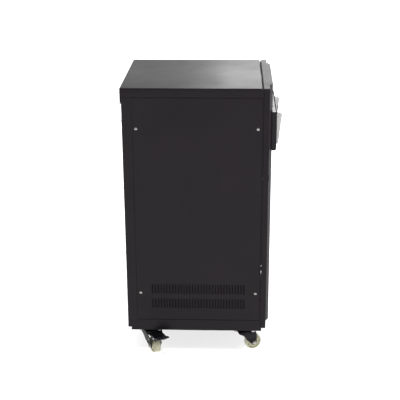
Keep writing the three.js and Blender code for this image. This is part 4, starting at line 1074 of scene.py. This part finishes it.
def fan_guard():
    """Wire guard over the fan with its screws, and the inlet's screws."""
    c = mid("fan_rotor")
    y = hi("back_panel").y

    def at(r, t, out):
        a, b = polar(r, t)
        return c.x + a, y + out, c.z + b

    wire = 0.0009
    for k, r in enumerate((0.011, 0.0185, 0.026, 0.0335, 0.041)):
        path = [at(r, i * TAU / 56, 0.0021) for i in range(56)]
        finish_mesh(f"fan_guard_ring_{k}", tube(path, wire, True), BOLT, "cabinet")
    for k in range(4):
        t = math.pi / 4 + k * math.pi / 2
        path = [at(r, t, 0.0034) for r in (0.011, 0.02, 0.03, 0.041)]
        path += [at(r, t, 0.0012) for r in (0.0435, 0.0455)]
        finish_mesh(f"fan_guard_spoke_{k}", tube(path, wire), BOLT, "cabinet")
        spot = at(0.0475, t, -0.00005)
        pan_screw(f"fan_guard_screw_{k}", spot, (0, 1, 0), "cabinet", 0.0036, 0.0016, turn=k)
    i0, i1, i = corners("power_inlet")
    for k, s in enumerate((-1, 1)):
        spot = (i.x + s * ((i1.x - i0.x) / 2 - 0.0034), i1.y - 0.00005, i.z)
        pan_screw(f"inlet_screw_{k}", spot, (0, 1, 0), "cabinet", 0.0023, 0.0010, turn=k)


# ------------------------------------------------------------------ door details


def door_parts():
    """Escutcheon of the lock, a black plate as painted shade for its keyway, and the port liner's screws."""
    lock = JOINTS["lock_turn"]["pos_m"]
    m = facing((lock[0], lo("front_door").y + 0.0102, lock[2]), (0, -1, 0))
    ring = [(0.0092, 0.0), (0.0124, 0.0), (0.0124, 0.0008), (0.0112, 0.0020), (0.0094, 0.0022), (0.0092, 0.0)]
    finish_mesh("lock_escutcheon", lathe(ring, 48), STEEL_BLACK_DARK, "door", m)
    # The keyway is a thin black plate on the cam, not a cut: painted shade for the slot.
    slot = block((-0.0009, -0.0044, -0.0002), (0.0009, 0.0044, 0.0003))
    m = facing((lock[0], lo("lock_cam").y, lock[2]), (0, -1, 0))
    finish_mesh("lock_keyway_shade", slot, PLASTIC_BLACK, "lock", m, bevel=0.0001)
    p, q, c = corners("port_liner")
    for k, (sx, sz) in enumerate((*CORNERS, (-1, 0), (1, 0))):
        inset = 0.72 * (0.0165 if sz else 0.0075)
        at = (c.x + sx * ((q.x - p.x) / 2 - inset), p.y - 0.00005, c.z + sz * ((q.z - p.z) / 2 - inset))
        pan_screw(f"port_screw_{k}", at, (0, -1, 0), "door", 0.0030, 0.0014, turn=k * 0.6)


def seals():
    """Foam on the back of the door where no frame stands behind it, and dark sheets behind the cooling slots:
    painted shade for the dark inside of the cabinet.
    """
    back = hi("front_door").y
    left, right, low, high, w = -0.1920, 0.1830, 0.0985, TOP - 0.0025, 0.0085
    strips = (((left, high - w), (-left - 0.0005, high)), ((-right + 0.0005, low), (right, low + w)),
              ((right - w, low + w), (right, high - w)))
    bm = bmesh.new()
    for a, b in strips:
        block((a[0], back - 0.0002, a[1]), (b[0], back + 0.0033, b[1]), bm)
    finish_mesh("door_seal", bm, RUBBER, "door", bevel=0.0007)
    p, c, inner = lo("left_side_panel"), mid("left_side_panel"), -hi("left_side_panel").x
    # The dark sheets behind the cooling slots are painted shade, not filters.
    for s, tag in ((-1, "left"), (1, "right")):
        a, b = sorted((s * (inner - 0.0004), s * (inner - 0.0064)))
        bm = block((a, c.y - 0.150, p.z + 0.032), (b, c.y + 0.150, p.z + 0.125))
        finish_mesh(f"{tag}_vent_shade_sheet", bm, VENT_SHADE, "cabinet", bevel=0.001)


lid_shell()
seals()
for each in ("front_left", "front_right", "rear_left", "rear_right"):
    caster(each)
cabinet_screws()
console()
for each in ("upper", "lower"):
    throwing_wheel(each)
    motor(each)
feed_motor()
battery_parts()
board_parts()
supply_parts()
fan_guard()
door_parts()

# ------------------------------------------------------------------ floor, light and camera


def studio():
    bm = bmesh.new()
    bmesh.ops.create_grid(bm, x_segments=1, y_segments=1, size=60)
    n = Nodes("floor_paper")
    cloud = n.noise(0.6, 2)
    n.tint(cloud, [(0.3, (0.90, 0.90, 0.90)), (0.7, (0.93, 0.93, 0.93))])
    n.set(Roughness=0.9, Specular_IOR_Level=0.0)
    floor = put_mesh("floor", bm, n.mat)

    world = bpy.data.worlds.new("studio")
    world.use_nodes = True
    world.node_tree.nodes["Background"].inputs["Color"].default_value = (1.0, 1.0, 1.0, 1)
    world.node_tree.nodes["Background"].inputs["Strength"].default_value = 0.3
    bpy.context.scene.world = world

    def lamp(name, kind, at, to, energy, size=None, angle=0.0):
        light = bpy.data.lights.new(name, kind)
        light.energy = energy
        if size:
            light.shape = "RECTANGLE"
            light.size, light.size_y = size
        else:
            light.angle = math.radians(angle)
        obj = put(name, light)
        obj.matrix_world = facing(at, Vector(at) - Vector(to))
        return obj

    lamp("back_softbox", "AREA", (3.2, -1.15, 2.45), (0, 0, TOP), 63, (2.6, 2.3))
    lamp("back_fill", "AREA", (3.6, 0.2, 2.4), (0, 0, TOP), 31, (5.0, 2.5))
    lamp("overhead", "SUN", (-1.45, -0.3, 4.0), (0, 0, 0), 0.8, angle=12)
    # The floor has a lamp of its own, so that the paper stays even and pale around the machine.
    own = lamp("floor_wash", "SUN", (0, 0, 4.0), (0, 0, 0), 3.3, angle=60)
    only = bpy.data.collections.new("floor_only")
    only.objects.link(floor)
    own.light_linking.receiver_collection = only
    own.light_linking.blocker_collection = only


def camera():
    data = bpy.data.cameras.new("camera")
    data.lens, data.sensor_width, data.sensor_fit = 85.0, 36.0, "HORIZONTAL"
    data.clip_end = 200
    obj = put("camera", data)
    yaw, pitch, roll = math.radians(2.2123), math.radians(-19.922), math.radians(-0.3107)
    ahead = Vector((math.cos(yaw) * math.cos(pitch), math.sin(yaw) * math.cos(pitch), math.sin(pitch)))
    right = ahead.cross(Vector((0, 0, 1))).normalized()
    up = right.cross(ahead)
    x = right * math.cos(roll) + up * math.sin(roll)
    y = up * math.cos(roll) - right * math.sin(roll)
    m = Matrix((x, y, -ahead)).transposed().to_4x4()
    m.translation = (-2.7625, -0.0942, TOP + 0.6012)
    obj.matrix_world = m
    bpy.context.scene.camera = obj


studio()
camera()
bpy.context.scene.view_settings.view_transform = "Standard"
bpy.context.scene.view_settings.look = "None"
